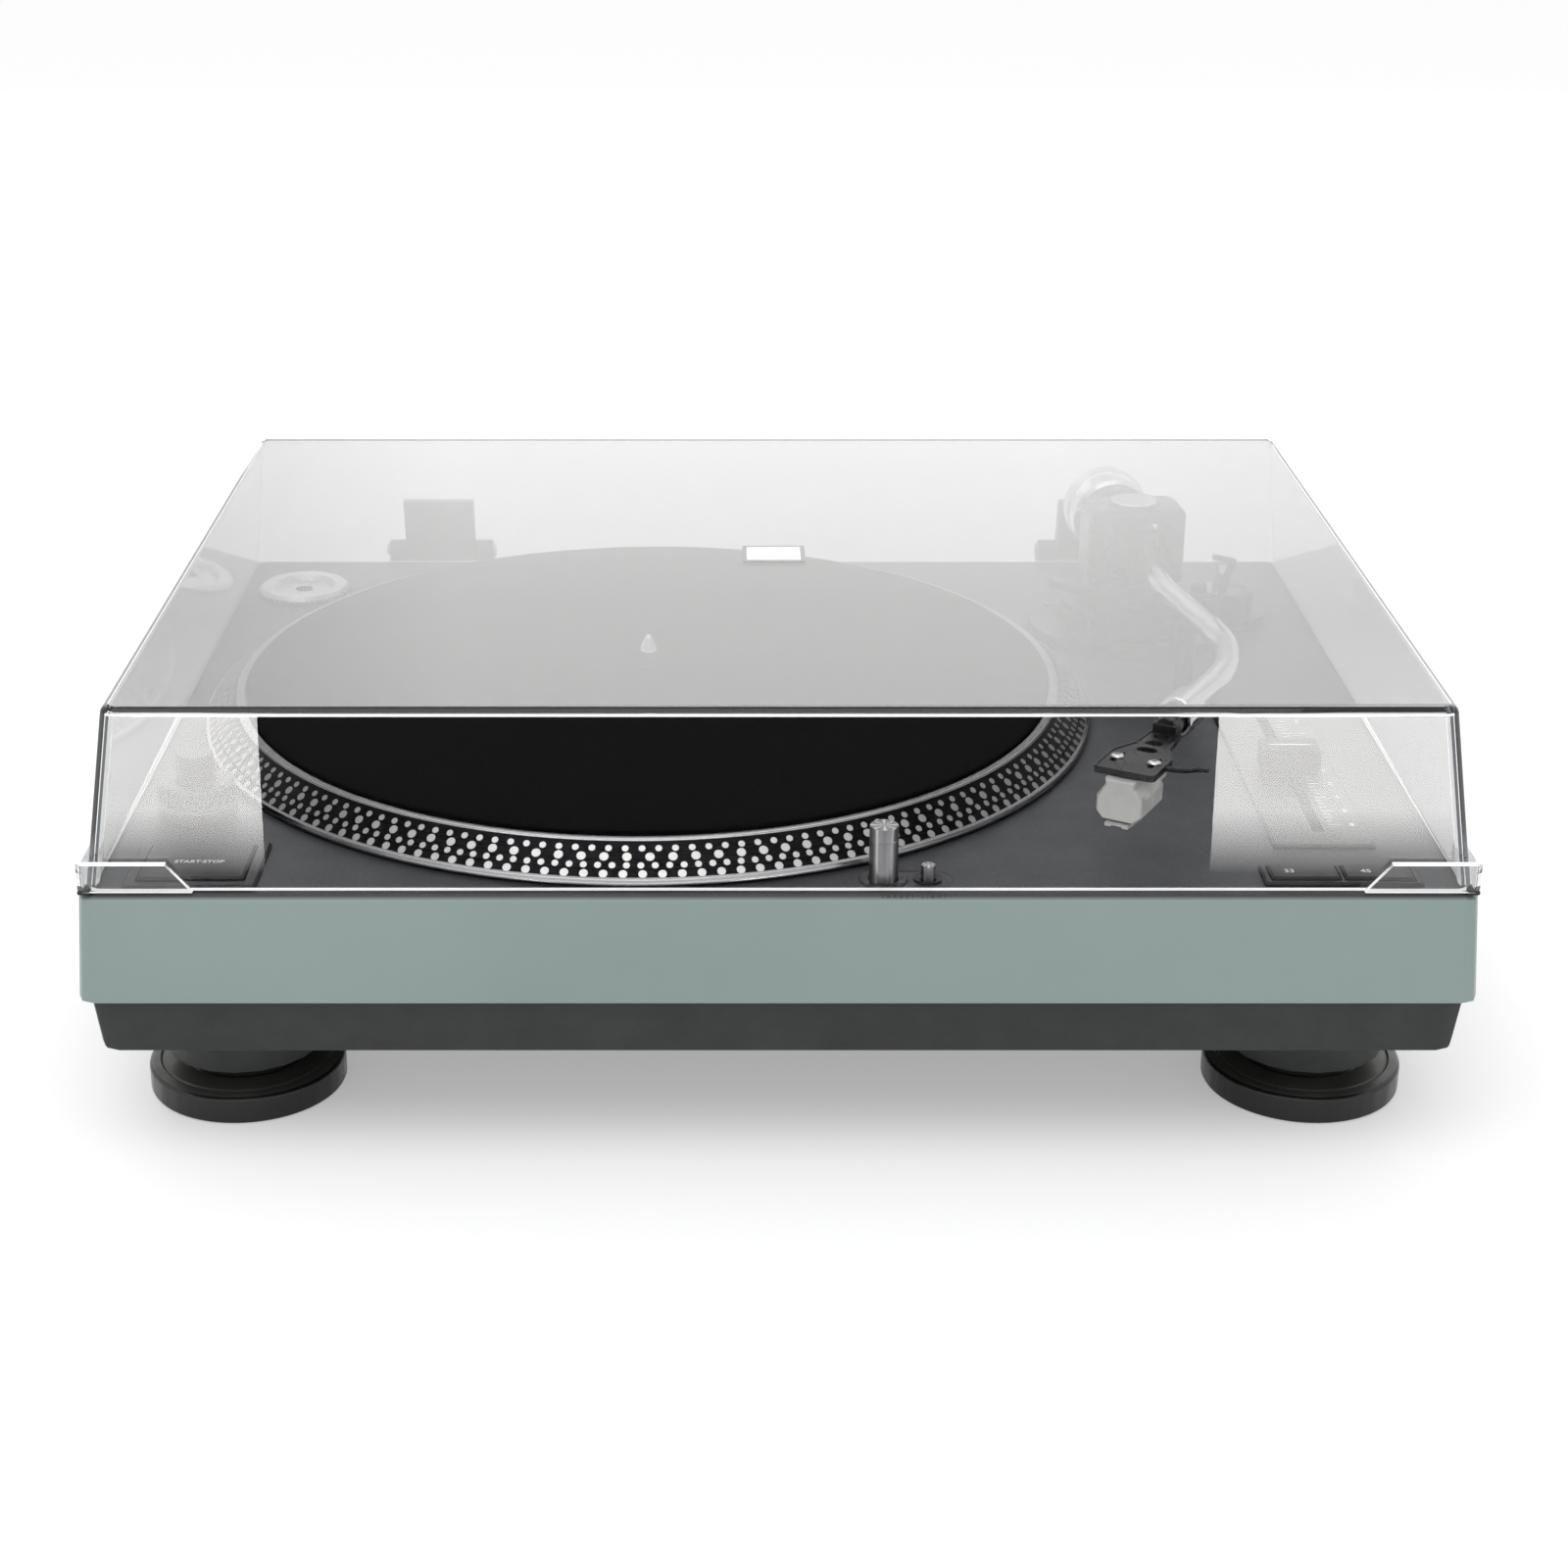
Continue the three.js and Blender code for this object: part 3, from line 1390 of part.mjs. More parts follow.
function headshell() {
  const half = shellWidth / 2;
  const outline = [
    [-half + shellCorner, -shellFront],
    [half - shellCorner, -shellFront],
    [half, -shellFront + shellCorner],
    [half, shellShoulder],
    [shellNeckWidth / 2, shellNeckBack],
    [shellTailWidth / 2, shellTailBack],
    [-shellTailWidth / 2, shellTailBack],
    [-shellNeckWidth / 2, shellNeckBack],
    [-half, shellShoulder],
    [-half, -shellFront + shellCorner],
  ];
  const low = -shellDrop - shellThickness;
  const plate = prism(outline, low, -shellDrop);
  const railLimits = [shellTailBack - plugLength / 2, shellTailBack];
  const rail = block(around(0, shellTailWidth), railLimits, [low, plugRadius / 2]);
  const plug = barY(plugRadius, shellTailBack - plugLength / 4, tubeEndRun - seatGap, 0, 0, pinSides);
  const fingerPath = new THREE.CatmullRomCurve3([
    new THREE.Vector3(half - shellCorner, liftFingerBack, low + shellThickness / 2),
    new THREE.Vector3(half + liftFingerReach / 3, liftFingerBack, low + shellThickness / 2),
    new THREE.Vector3(half + liftFingerReach, liftFingerBack - liftFingerSweep, low + liftFingerRise),
  ]);
  const finger = roundBar(fingerPath, liftFingerRadius, wireSides, wireSides);
  const slots = [-shellSlotSpacing / 2, shellSlotSpacing / 2].map((x) => prism(
    roundedOutline(around(x, shellSlotWidth), [shellSlotFront, shellSlotBack], shellSlotWidth / 2),
    low - overrun, overrun));
  const holes = [];
  for (let index = 0; index < shellHoleCount; index += 1) {
    const y = shellHoleFirst + index * shellHolePitch;
    const width = shellHoleWidth - index * shellCorner / 4;
    holes.push(prism(roundedOutline(around(0, width), around(y, shellHoleLength), shellHoleLength / 2),
      low - overrun, overrun));
  }
  return cut(join(plate, rail, plug, finger), ...slots, ...holes);
}

function cartridge() {
  const top = cartridgeTop;
  const low = top - cartridgeHeight;
  const half = cartridgeWidth / 2;
  const neck = cartridgeTopWidth / 2;
  const face = [
    [-neck, top],
    [-neck, top - cartridgeFlange],
    [-half, top - cartridgeFlange - cartridgeWaist],
    [-half, low + cartridgeFoot],
    [-cartridgeFootWidth / 2, low],
    [cartridgeFootWidth / 2, low],
    [half, low + cartridgeFoot],
    [half, top - cartridgeFlange - cartridgeWaist],
    [neck, top - cartridgeFlange],
    [neck, top],
  ];
  const body = prismY(face, -cartridgeFront, cartridgeBack);
  const middle = (shellSlotFront + shellSlotBack) / 2;
  const flange = prism(roundedOutline(around(0, cartridgeWidth + shellSlotWidth),
    around(middle, shellSlotBack - shellSlotFront), shellSlotWidth / 2), top - cartridgeFlange, top);
  const pins = [];
  const [pinFront, pinRear] = around(cartridgeBack, 2 * cartridgePinLength);
  for (const x of [-1, 1]) {
    for (const z of [-1, 1]) {
      const high = low + cartridgeHeight / 2 + z * cartridgePinSpacing;
      pins.push(barY(cartridgePinRadius, pinFront, pinRear, x * cartridgePinSpacing, high, wireSides));
    }
  }
  return join(body, flange, ...pins);
}

function stylus() {
  const top = cartridgeTop - cartridgeHeight - seatGap;
  const tipLow = matTop + stylusAboveMat - armHigh;
  const half = guardWidth / 2;
  const guard = prismX([
    [-guardFront, top],
    [-guardFront, top - guardHeight / 2],
    [guardBack, top - guardHeight],
    [guardBack, top],
  ], -half, half);
  const gutter = block(around(0, guardWidth / 2), [-guardFront - overrun, guardBack / 3],
    [top - guardHeight - overrun, top - guardHeight / 4]);
  const rod = roundBar(new THREE.LineCurve3(
    new THREE.Vector3(0, guardBack / 2, top - guardHeight / 2),
    new THREE.Vector3(0, -tipRadius, tipLow + tipHeight),
  ), cantileverRadius, wireSides, 1);
  const tip = revolve([
    [0, tipLow],
    [tipRadius, tipLow + tipHeight],
    [0, tipLow + tipHeight + tipRadius],
  ], coarseSides);
  return join(cut(guard, gutter), rod, tip);
}

function antiSkateDial() {
  const low = armBaseHeight + seatGap;
  const high = low + skateHeight;
  return revolve([
    [0, armBaseHeight / 2 + seatGap],
    [skateStemRadius, armBaseHeight / 2 + seatGap],
    [skateStemRadius, low],
    [skateRadius, low],
    [skateRadius, high - buttonEdge],
    [skateRadius - buttonEdge, high],
    [skateRadius - skateDishInset, high],
    [skateRadius - skateDishInset - buttonEdge, high - buttonEdge],
    [0, high - buttonEdge],
  ]);
}

// Arm rest, in a frame whose zero is at the deck's top under the resting tube

function armRest() {
  const shelfTop = liftTopRest;
  const shelfLow = shelfTop - restShelfHeight;
  const left = -restShelfWidth / 2;
  const stopSide = tubeRadius + slideGap + seatGap;
  const stopRight = stopSide + restStopWidth;
  const post = revolve([
    [0, 0],
    [restFootRadius, 0],
    [restFootRadius, restFootHeight / 2],
    [restFootRadius - restFootHeight / 2, restFootHeight],
    [restStemRadius, restFootHeight],
    [restStemRadius, shelfLow + restShelfHeight / 2],
    [0, shelfLow + restShelfHeight / 2],
  ], boreSides);
  const shelf = block([left, stopRight], around(0, restShelfDepth), [shelfLow, shelfTop]);
  const stop = block([stopSide, stopRight], around(0, restShelfDepth), [shelfLow, shelfTop + restStopHeight]);
  const notch = block([stopSide - overrun, stopRight + overrun], around(0, clipWidth + 2 * seatGap),
    [armHigh + clipHigh - 2 * clipThickness, shelfTop + restStopHeight + overrun]);
  const half = restShelfDepth / 2;
  const pin = barY(clipPinRadius, -half, half, clipSide, armHigh + clipHigh, pinSides);
  return join(cut(join(post, shelf, stop), notch), pin);
}

function armClip() {
  const over = tubeRadius + clipClearance - clipHigh;
  const left = -clipSide - tubeRadius - clipClearance;
  const hook = [
    [clipThickness / 2, -clipThickness / 2],
    [clipThickness / 2, over + clipThickness],
    [left - clipThickness, over + clipThickness],
    [left - clipThickness, -clipHigh - clipThickness],
    [left, -clipHigh - clipThickness],
    [left, over],
    [-clipThickness, over],
    [-clipThickness, -clipThickness / 2],
  ];
  const eye = barY(clipThickness, -clipWidth / 2, clipWidth / 2, 0, 0, pinSides);
  const hole = barY(clipPinRadius + runningGap, -clipWidth, clipWidth, 0, 0, pinSides);
  return cut(join(prismY(hook, -clipWidth / 2, clipWidth / 2), eye), hole);
}

// Rear sockets

function socketPanel() {
  const face = back(plinthDepth) - rearRecess;
  const depth = [face - socketPanelDepth, face];
  const plate = block(around(0, socketPanelWidth), depth, around(0, socketPanelHeight));
  const places = [-socketSpacing / 2, socketSpacing / 2];
  const end = face + socketLength;
  const barrels = places.map((x) => barY(socketRadius, face - socketPanelDepth / 2, end, x, 0, pinSides));
  const bores = places.map((x) => barY(socketBore, end - socketBoreDepth, end + overrun, x, 0, coarseSides));
  return cut(join(plate, ...barrels), ...bores);
}

function earthTerminal() {
  const face = back(plinthDepth);
  const knobFront = face + plinthFlare * (earthRadius - rearMiddle) / plinthHeight + seatGap;
  const knobBack = knobFront + earthLength;
  const stem = barY(earthStemRadius, face - 2 * plinthWall, knobBack, 0, 0, coarseSides);
  const knob = barY(earthRadius, knobFront, knobBack, 0, 0, boreSides);
  const end = barY(earthRadius * earthEndShare, knobFront, knobBack + earthStemRadius / 2, 0, 0, boreSides);
  return join(stem, knob, end);
}

function mainsInlet() {
  const face = back(plinthDepth) - rearRecess;
  const body = block(around(0, inletWidth), [face - inletDepth, face], around(0, inletHeight));
  const mouth = geometryOf(prism(roundedOutline(around(0, inletMouthWidth), around(0, inletMouthHeight),
    inletMouthHeight / 2 - seatGap), 0, inletMouthDepth + overrun)).rotateX(-Math.PI / 2)
    .translate(0, face - inletMouthDepth, 0);
  const mouthFloor = face - inletMouthDepth;
  const pins = [-inletPinSpacing / 2, inletPinSpacing / 2].map((x) => (
    barY(inletPinRadius, mouthFloor - inletPinRadius, mouthFloor + inletPinLength, x, 0, coarseSides)));
  return join(cut(body, mouth), ...pins);
}

// Electronics, standing on the base pan

function boardPosts() {
  const inset = 2 * boardStandoffRadius;
  const xs = around(boardX, boardWidth - 2 * inset);
  const ys = around(back(boardBack), boardLength - 2 * inset);
  return xs.flatMap((x) => ys.map((y) => [x, y]));
}

function mainBoard() {
  const board = block(around(0, boardWidth), around(0, boardLength), [0, boardThickness]);
  const chips = chipSizeShares.flatMap((share, index) => [-1, 1].map((row) => {
    const size = share * boardWidth;
    const x = ((index + 1 / 2) / chipSizeShares.length - 1 / 2) * (boardWidth - size);
    const height = chipHeightShares[(index + row + 1) % chipHeightShares.length] * chipTallest;
    const y = row * chipRowShare * boardLength;
    return block(around(x, size), around(y, size), [boardThickness / 2, height]);
  }));
  return join(board, ...chips);
}

function transformer() {
  const footTop = transformerFoot;
  const core = block(around(0, coreWidth), around(0, coreDepth), [0, coreHeight]);
  const foot = block(around(0, transformerFootWidth), around(0, coreDepth), [0, footTop]);
  const low = (coreHeight - coilBodyHeight) / 2;
  const coilOutline = roundedOutline(around(0, coilBodyWidth), around(0, coilBodyDepth), coilBodyRound);
  const coil = loft([
    { outline: coilOutline, high: low },
    { outline: coilOutline, high: low + coilBodyHeight },
  ]);
  return join(core, foot, coil);
}

// Assembly

add(deck, 'plinth_top', plinthTop(), 'plinth');
add(deck, 'base_pan', basePan(), 'pan');
footPlaces.forEach(([place, x, y]) => add(deck, `foot_${place}`, foot(), 'black', [x, y, -deckHeight]));

const platterCentre = [platterX, platterY, 0];
add(deck, 'platter', platter(), 'platter', platterCentre);
add(deck, 'slipmat', slipmat(), 'mat', [platterX, platterY, platterTop]);
add(deck, 'spindle', spindle(), 'steel', platterCentre);
add(deck, 'rotor_magnet', rotorMagnet(), 'magnet', platterCentre);
add(deck, 'bearing_housing', bearingHousing(), 'brass', platterCentre);
add(deck, 'stator_board', statorBoardWithCoils(), 'board', platterCentre);

add(deck, 'dust_cover', dustCover(), 'clear');
const bumperX = plinthWidth / 2 - coverInset + lugProud - bumperWidth / 2;
const bumperY = back(coverFront) - lugProud + bumperDepth / 2;
[['left', -1], ['right', 1]].forEach(([side, sign]) => {
  add(deck, `cover_bumper_${side}`, coverBumper(), 'rubber', [sign * bumperX, bumperY, coverLift]);
  const pivot = [sign * hingeX, back(hingePivotBack), hingePivotHigh];
  add(deck, `hinge_leaf_${side}`, hingeLeaf(), 'black', pivot);
  add(deck, `hinge_base_${side}`, hingeBase(), 'black', pivot);
  add(deck, `hinge_pin_${side}`, hingePin(), 'steel', pivot);
});

add(deck, 'single_adapter', adapter(), 'brushed', [adapterX, back(adapterBack), 0]);
add(deck, 'start_stop_frame', buttonFrame(startWidth, startLength, startBorder, startFrameHeight, startStep),
  'black', [startX, back(startBack), 0]);
add(deck, 'start_stop_button',
  pushButton(startWidth - 2 * startBorder, startLength - 2 * startBorder, startButtonProud),
  'black', [startX, back(startBack), 0]);
add(deck, 'speed_frame', speedFrame(), 'black', [speedX, back(speedBack), 0]);
[['33', -1], ['45', 1]].forEach(([speed, sign]) => {
  const x = speedX + (sign * (speedOpening + speedButtonGap)) / 4;
  add(deck, `speed_${speed}_button`,
    pushButton(speedButtonWidth, speedFrameLength - 2 * speedBorder, speedButtonProud),
    'black', [x, back(speedBack), 0]);
});

const pitchPlace = [pitchX, back(pitchBack), 0];
add(deck, 'pitch_plate', pitchPlate(), 'black', pitchPlace);
add(deck, 'pitch_knob', pitchKnob(), 'black', pitchPlace);
add(deck, 'pitch_fader', pitchPot(), 'magnet', pitchPlace);

const towerPlace = [towerX, back(towerBack), 0];
add(deck, 'strobe_tower', strobeTower(), 'black', towerPlace);
add(deck, 'strobe_lens', strobeLens(), 'red', towerPlace);
add(deck, 'power_knob', powerKnob(), 'black', towerPlace);

const lightPlace = [lightX, back(lightBack), 0];
const catchPlace = [catchX, back(lightBack), 0];
add(deck, 'stylus_light_sleeve', lightSleeve(), 'brushed', lightPlace);
add(deck, 'stylus_light', stylusLight(), 'brushed', lightPlace);
add(deck, 'stylus_light_dish', catchDish(), 'black', catchPlace);
add(deck, 'stylus_light_catch', catchButton(), 'brushed', catchPlace);

const armStand = new THREE.Group();
armStand.position.set(armX, armY, 0);
deck.add(armStand);
add(armStand, 'tonearm_base', armBase(), 'black');
add(armStand, 'height_ring', heightRing(), 'black');
add(armStand, 'tonearm_column', armColumn(), 'brushed');
add(armStand, 'lift_housing', liftHousing(), 'black');
add(armStand, 'lift_platform', liftPlatform(), 'black');
const leverPlace = polar(leverRing, -leverDegrees);
const lever = add(armStand, 'lift_lever', liftLever(), 'steel', [...leverPlace, leverHigh]);
lever.rotation.x = -radians(leverSlantDegrees);
add(armStand, 'anti_skate_dial', antiSkateDial(), 'black', [skateX, skateY, 0]);

const armOutward = radians(armOutwardDegrees);
const armTurn = new THREE.Group();
armTurn.rotation.z = armOutward;
armStand.add(armTurn);
add(armTurn, 'tonearm_yoke', yoke(), 'black');
const arm = new THREE.Group();
arm.position.z = armHigh;
armTurn.add(arm);
add(arm, 'arm_gimbal', gimbal(), 'black');
add(arm, 'arm_tube', armTube(), 'steel');
add(arm, 'counterweight_dial', weightDial(), 'black', [0, weightStart - weightDialLength - seatGap, 0]);
add(arm, 'counterweight', counterweight(), 'steel', [0, weightStart, 0]);

const head = new THREE.Group();
head.position.set(stylusPlace.x, stylusPlace.y, 0);
head.rotation.z = -headAngle;
arm.add(head);
add(head, 'headshell_collar', collar(), 'steel', [0, collarFront, 0]);
add(head, 'headshell', headshell(), 'black');
add(head, 'cartridge', cartridge(), 'ivory');
add(head, 'stylus', stylus(), 'ivory');

// The rest stands square under the resting tube, a share of the tube's length from the pivot
const restPlace = tubeCurve().getPointAt(restShare);
const restHeading = tubeCurve().getTangentAt(restShare);
const restTurn = new THREE.Group();
restTurn.rotation.z = armOutward;
armStand.add(restTurn);
const rest = new THREE.Group();
rest.position.copy(restPlace);
rest.rotation.z = Math.atan2(restHeading.x, -restHeading.y);
restTurn.add(rest);
add(rest, 'arm_rest', armRest(), 'black');
const clip = add(rest, 'arm_clip', armClip(), 'black', [clipSide, 0, armHigh + clipHigh]);
clip.rotation.y = radians(clipOpenDegrees);

add(deck, 'socket_panel', socketPanel(), 'black', [socketX, 0, rearMiddle]);
add(deck, 'earth_terminal', earthTerminal(), 'brass', [earthX, 0, rearMiddle]);
add(deck, 'mains_inlet', mainsInlet(), 'black', [inletX, 0, rearMiddle]);

const floorTop = panLow + panFloor;
add(deck, 'main_board', mainBoard(), 'board', [boardX, back(boardBack), floorTop + boardStandoff]);
add(deck, 'transformer', transformer(), 'magnet', [transformerX, back(transformerBack), floorTop]);

export default recordPlayer;
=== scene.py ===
import json
import math
import random

import bmesh
import bpy
from mathutils import Matrix, Vector
from mathutils.geometry import delaunay_2d_cdt

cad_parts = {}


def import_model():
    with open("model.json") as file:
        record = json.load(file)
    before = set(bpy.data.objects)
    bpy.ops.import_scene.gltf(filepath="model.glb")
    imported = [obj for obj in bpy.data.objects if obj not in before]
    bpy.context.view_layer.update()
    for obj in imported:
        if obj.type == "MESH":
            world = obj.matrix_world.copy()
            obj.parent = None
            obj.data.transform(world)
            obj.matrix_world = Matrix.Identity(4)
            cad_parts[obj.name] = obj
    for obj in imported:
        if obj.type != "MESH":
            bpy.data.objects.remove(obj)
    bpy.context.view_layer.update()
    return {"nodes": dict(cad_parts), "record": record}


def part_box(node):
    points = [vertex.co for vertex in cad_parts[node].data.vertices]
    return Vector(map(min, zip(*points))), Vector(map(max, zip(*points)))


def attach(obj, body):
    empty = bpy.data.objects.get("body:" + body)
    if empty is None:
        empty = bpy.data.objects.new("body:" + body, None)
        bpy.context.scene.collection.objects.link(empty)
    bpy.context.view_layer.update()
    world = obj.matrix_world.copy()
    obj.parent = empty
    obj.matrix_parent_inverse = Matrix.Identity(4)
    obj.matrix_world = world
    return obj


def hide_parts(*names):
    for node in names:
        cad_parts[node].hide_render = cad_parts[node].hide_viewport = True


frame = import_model()
scene = bpy.context.scene

# Shapes are in millimetres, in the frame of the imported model. Looks, camera and stage are in metres
MM = 0.001
SAME_POINT = 0.0000005
DECK = 96.0
PLATTER = (-46.0, -4.6)
SPINDLE_HOLE = 3.75
BEVEL_TOP = (153.1, 11.65)
BEVEL_FOOT = (163.4, 3.3)
ARM = (145.5, 78.5)
ARM_HIGH = DECK + 35.5
ARM_TURN = math.radians(4.76)
ARM_REACH = 232.4
HEAD_TURN = math.radians(33.8)
STYLUS = Vector((-0.226 * ARM_REACH, -0.974 * ARM_REACH, 0.0))
LIGHT = (34.0, -162.4)
CATCH = (48.5, -162.4)
LIGHT_FRAME = (41.4, -162.4)
POWER_KNOB = (-197.0, -110.0)
START_BUTTON = (-188.6, -154.1)
SPEED_33 = (165.6, -160.6)
SPEED_45 = (190.4, -160.6)
PITCH = (182.0, -73.0)
SOCKETS_X = -62.0
SOCKETS_HIGH = 76.0
COVER_LOW = 97.0
COVER_HIGH = 156.88
COVER_PLATE = (0.5, -8.0)

# Printed lines lie between the first two heights over their face, and words about the third
INK_LOW = 0.005
INK_HIGH = 0.05
INK_WORDS = 0.03

# Refractive index of acrylic
ACRYLIC = 1.49


def given(target, **settings):
    """The target with its settings made."""
    for key, value in settings.items():
        setattr(target, key, value)
    return target


def added(name, data):
    """A new object in the scene."""
    obj = bpy.data.objects.new(name, data)
    scene.collection.objects.link(obj)
    return obj


# Camera

view = given(bpy.data.cameras.new("view"), sensor_width=36.0, lens=61.96, shift_x=0.0349,
             clip_start=0.02, clip_end=50.0)
scene.camera = given(added("view", view), location=(-0.0158, -0.9580, 0.4601),
                     rotation_euler=(math.radians(67.42), 0.0, 0.0))


# Materials

def full(colour):
    """A grey or an RGB colour with its alpha. A socket stays as it is."""
    if isinstance(colour, bpy.types.NodeSocket):
        return colour
    if isinstance(colour, float):
        return colour, colour, colour, 1.0
    return (*colour, 1.0)


def dimmed(colour, by):
    return tuple(by * channel for channel in full(colour)[:3])


class Nodes:
    """Short calls for the nodes of a material or the world."""

    def __init__(self, owner):
        owner.use_nodes = True
        self.nodes = owner.node_tree.nodes
        self.links = owner.node_tree.links

    def node(self, kind, inputs=None, **settings):
        """A new node. An input that is another node's socket is linked, and else it is set."""
        made = given(self.nodes.new("ShaderNode" + kind), **settings)
        for key, value in (inputs or {}).items():
            if isinstance(value, bpy.types.NodeSocket):
                self.links.new(value, made.inputs[key])
            else:
                made.inputs[key].default_value = value
        return made

    def math(self, operation, first, second=None, clamp=False):
        inputs = {0: first} if second is None else {0: first, 1: second}
        return self.node("Math", inputs, operation=operation, use_clamp=clamp).outputs[0]

    def spread(self, value, low, high, start=0.3, end=0.7):
        """Low to high while value goes from start to end."""
        inputs = {"Value": value, "From Min": start, "From Max": end, "To Min": low, "To Max": high}
        return self.node("MapRange", inputs, clamp=True).outputs["Result"]

    def seen(self):
        """One for rays from the camera, and for those that glass and metal send on."""
        rays = self.node("LightPath").outputs
        both = self.math("ADD", rays["Is Camera Ray"], rays["Is Transmission Ray"], clamp=True)
        return self.math("ADD", both, rays["Is Glossy Ray"], clamp=True)


class Look(Nodes):
    """A material with a Principled shader, whose plain inputs are set by name."""

    def __init__(self, name, **settings):
        self.material = bpy.data.materials.new(name)
        super().__init__(self.material)
        self.shader = self.nodes["Principled BSDF"]
        self.surface = self.nodes["Material Output"].inputs["Surface"]
        self.coords = self.node("TexCoord").outputs["Object"]
        for key, value in settings.items():
            self.shader.inputs[key.replace("_", " ")].default_value = value

    def place(self, offset=(0, 0, 0), scale=(1, 1, 1), turn=(0, 0, 0)):
        inputs = {"Vector": self.coords, "Location": offset, "Rotation": turn, "Scale": scale}
        return self.node("Mapping", inputs).outputs["Vector"]

    def axes(self, centre=None):
        """X, Y and Z apart, from a centre in millimetres if there is one."""
        where = self.coords
        if centre:
            where = self.place((-centre[0] * MM, -centre[1] * MM, 0.0))
        return self.node("SeparateXYZ", {0: where}).outputs

    def noise(self, scale, detail=4.0, rough=0.55, at=None):
        inputs = {"Scale": scale, "Detail": detail, "Roughness": rough, "Vector": at or self.coords}
        return self.node("TexNoise", inputs).outputs["Fac"]

    def ramp(self, factor, *stops):
        made = self.node("ValToRGB", {"Fac": factor})
        elements = made.color_ramp.elements
        elements.remove(elements[-1])
        elements[0].position = stops[0][0]
        elements[0].color = full(stops[0][1])
        for place, colour in stops[1:]:
            elements.new(place).color = full(colour)
        return made.outputs["Color"]

    def blend(self, factor, first, second, mode="MIX"):
        inputs = {0: factor, 6: full(first), 7: full(second)}
        return self.node("Mix", inputs, data_type="RGBA", blend_type=mode).outputs[2]

    def painted_highlight(self, axes):
        """A painted highlight and shade: lighter before and behind the centre and darker to its
        sides, as the grain of turned metal shines.
        """
        turn = self.math("ABSOLUTE", self.math("ARCTAN2", axes["X"], axes["Y"]))
        share = self.math("PINGPONG", self.math("DIVIDE", turn, math.pi), 0.5)
        return self.ramp(share, (0.0, 1.0), (0.10, 0.92), (0.22, 0.38), (0.5, 0.27))

    def colour(self, value):
        self.links.new(value, self.shader.inputs["Base Color"])

    def rough(self, value, low, high):
        self.links.new(self.spread(value, low, high), self.shader.inputs["Roughness"])

    def bump(self, value, depth, strength):
        made = self.node("Bump", {"Distance": depth, "Strength": strength, "Height": value})
        self.links.new(made.outputs["Normal"], self.shader.inputs["Normal"])

    def mixed(self, factor, first, second):
        """The surface goes from the first shader to the second."""
        mix = self.node("MixShader", {0: factor, 1: first, 2: second})
        self.links.new(mix.outputs[0], self.surface)

    def open_to_lamps(self, colour):
        """Rays from lamps pass straight through, so that what is under clear plastic is lit."""
        through = self.node("BsdfTransparent", {"Color": full(colour)}).outputs[0]
        shadow = self.node("LightPath").outputs["Is Shadow Ray"]
        self.mixed(shadow, self.shader.outputs[0], through)


def painted(name):
    """Satin lacquer with a fine orange peel: grey-green sides, and a darker gunmetal on the deck,
    which is painted shade on the same lacquer and also covers the wells inside the walls.
    """
    look = Look(name, Specular_IOR_Level=0.34)
    side = look.ramp(look.noise(9.0, 3.0), (0.35, (0.288, 0.362, 0.351)),
                     (0.65, (0.314, 0.390, 0.375)))
    # Painted shade: the deck is given a darker colour than the sides, though it is the same lacquer
    deck = look.ramp(look.noise(2600.0, 2.0, 0.7), (0.3, (0.032, 0.033, 0.038)),
                     (0.52, (0.047, 0.048, 0.055)), (0.75, (0.085, 0.086, 0.095)))
    axes = look.axes()
    wells_x, wells_y = 0.215, 0.160
    deck_foot, deck_top = 0.0943, 0.0955
    across = look.math("LESS_THAN", look.math("ABSOLUTE", axes["X"]), wells_x)
    along = look.math("LESS_THAN", look.math("ABSOLUTE", axes["Y"]), wells_y)
    top = look.spread(axes["Z"], 0.0, 1.0, deck_foot, deck_top)
    part = look.math("MAXIMUM", top, look.math("MULTIPLY", across, along))
    look.colour(look.blend(part, side, deck))
    look.rough(look.noise(60.0, 3.0), 0.44, 0.54)
    look.bump(look.noise(1500.0, 3.0, 0.5), 0.00002, 0.35)
    return look


def moulded(name, dark, light, low, high, grain=1400.0, depth=0.00004):
    """Moulded plastic or rubber with a spark-eroded grain and slight wear."""
    look = Look(name, Specular_IOR_Level=0.45)
    look.colour(look.ramp(look.noise(38.0, 5.0, 0.65), (0.3, dark), (0.72, light)))
    look.rough(look.noise(140.0, 4.0), low, high)
    cells = look.node("TexVoronoi", {"Scale": grain, "Vector": look.coords})
    look.bump(cells.outputs["Distance"], depth, 0.5)
    return look


def metal(name, dark, light, low, high, stretch=(1, 1, 1), scale=900.0, depth=0.000012,
          brushed=0.0):
    """Metal with a drawn or turned grain, which stretch gives its direction."""
    look = Look(name, Metallic=1.0, Anisotropic=brushed)
    grain = look.noise(scale, 6.0, 0.7, look.place(scale=stretch))
    stain = look.spread(look.noise(45.0, 4.0), 0.0, 0.5)
    look.colour(look.blend(stain, look.ramp(grain, (0.3, dark), (0.7, light)), dark))
    look.rough(grain, low, high)
    look.bump(grain, depth, 0.6)
    return look


def felt(name):
    """Needled felt: short fibres, a soft sheen and a few paler ends."""
    look = Look(name, Roughness=0.96, Sheen_Weight=0.01, Sheen_Roughness=0.5,
                Sheen_Tint=(0.6, 0.6, 0.65, 1.0), Specular_IOR_Level=0.02)
    fibre = look.noise(2400.0, 8.0, 0.75, look.place(scale=(1.0, 0.35, 1.0)))
    cross = look.noise(2000.0, 8.0, 0.75, look.place(scale=(0.3, 1.0, 1.0), turn=(0, 0, 0.6)))
    both = look.math("MULTIPLY", fibre, cross)
    look.colour(look.ramp(both, (0.12, (0.0025, 0.0025, 0.003)), (0.3, (0.0055, 0.0055, 0.006)),
                          (0.5, (0.015, 0.015, 0.016))))
    look.bump(both, 0.00025, 0.8)
    return look


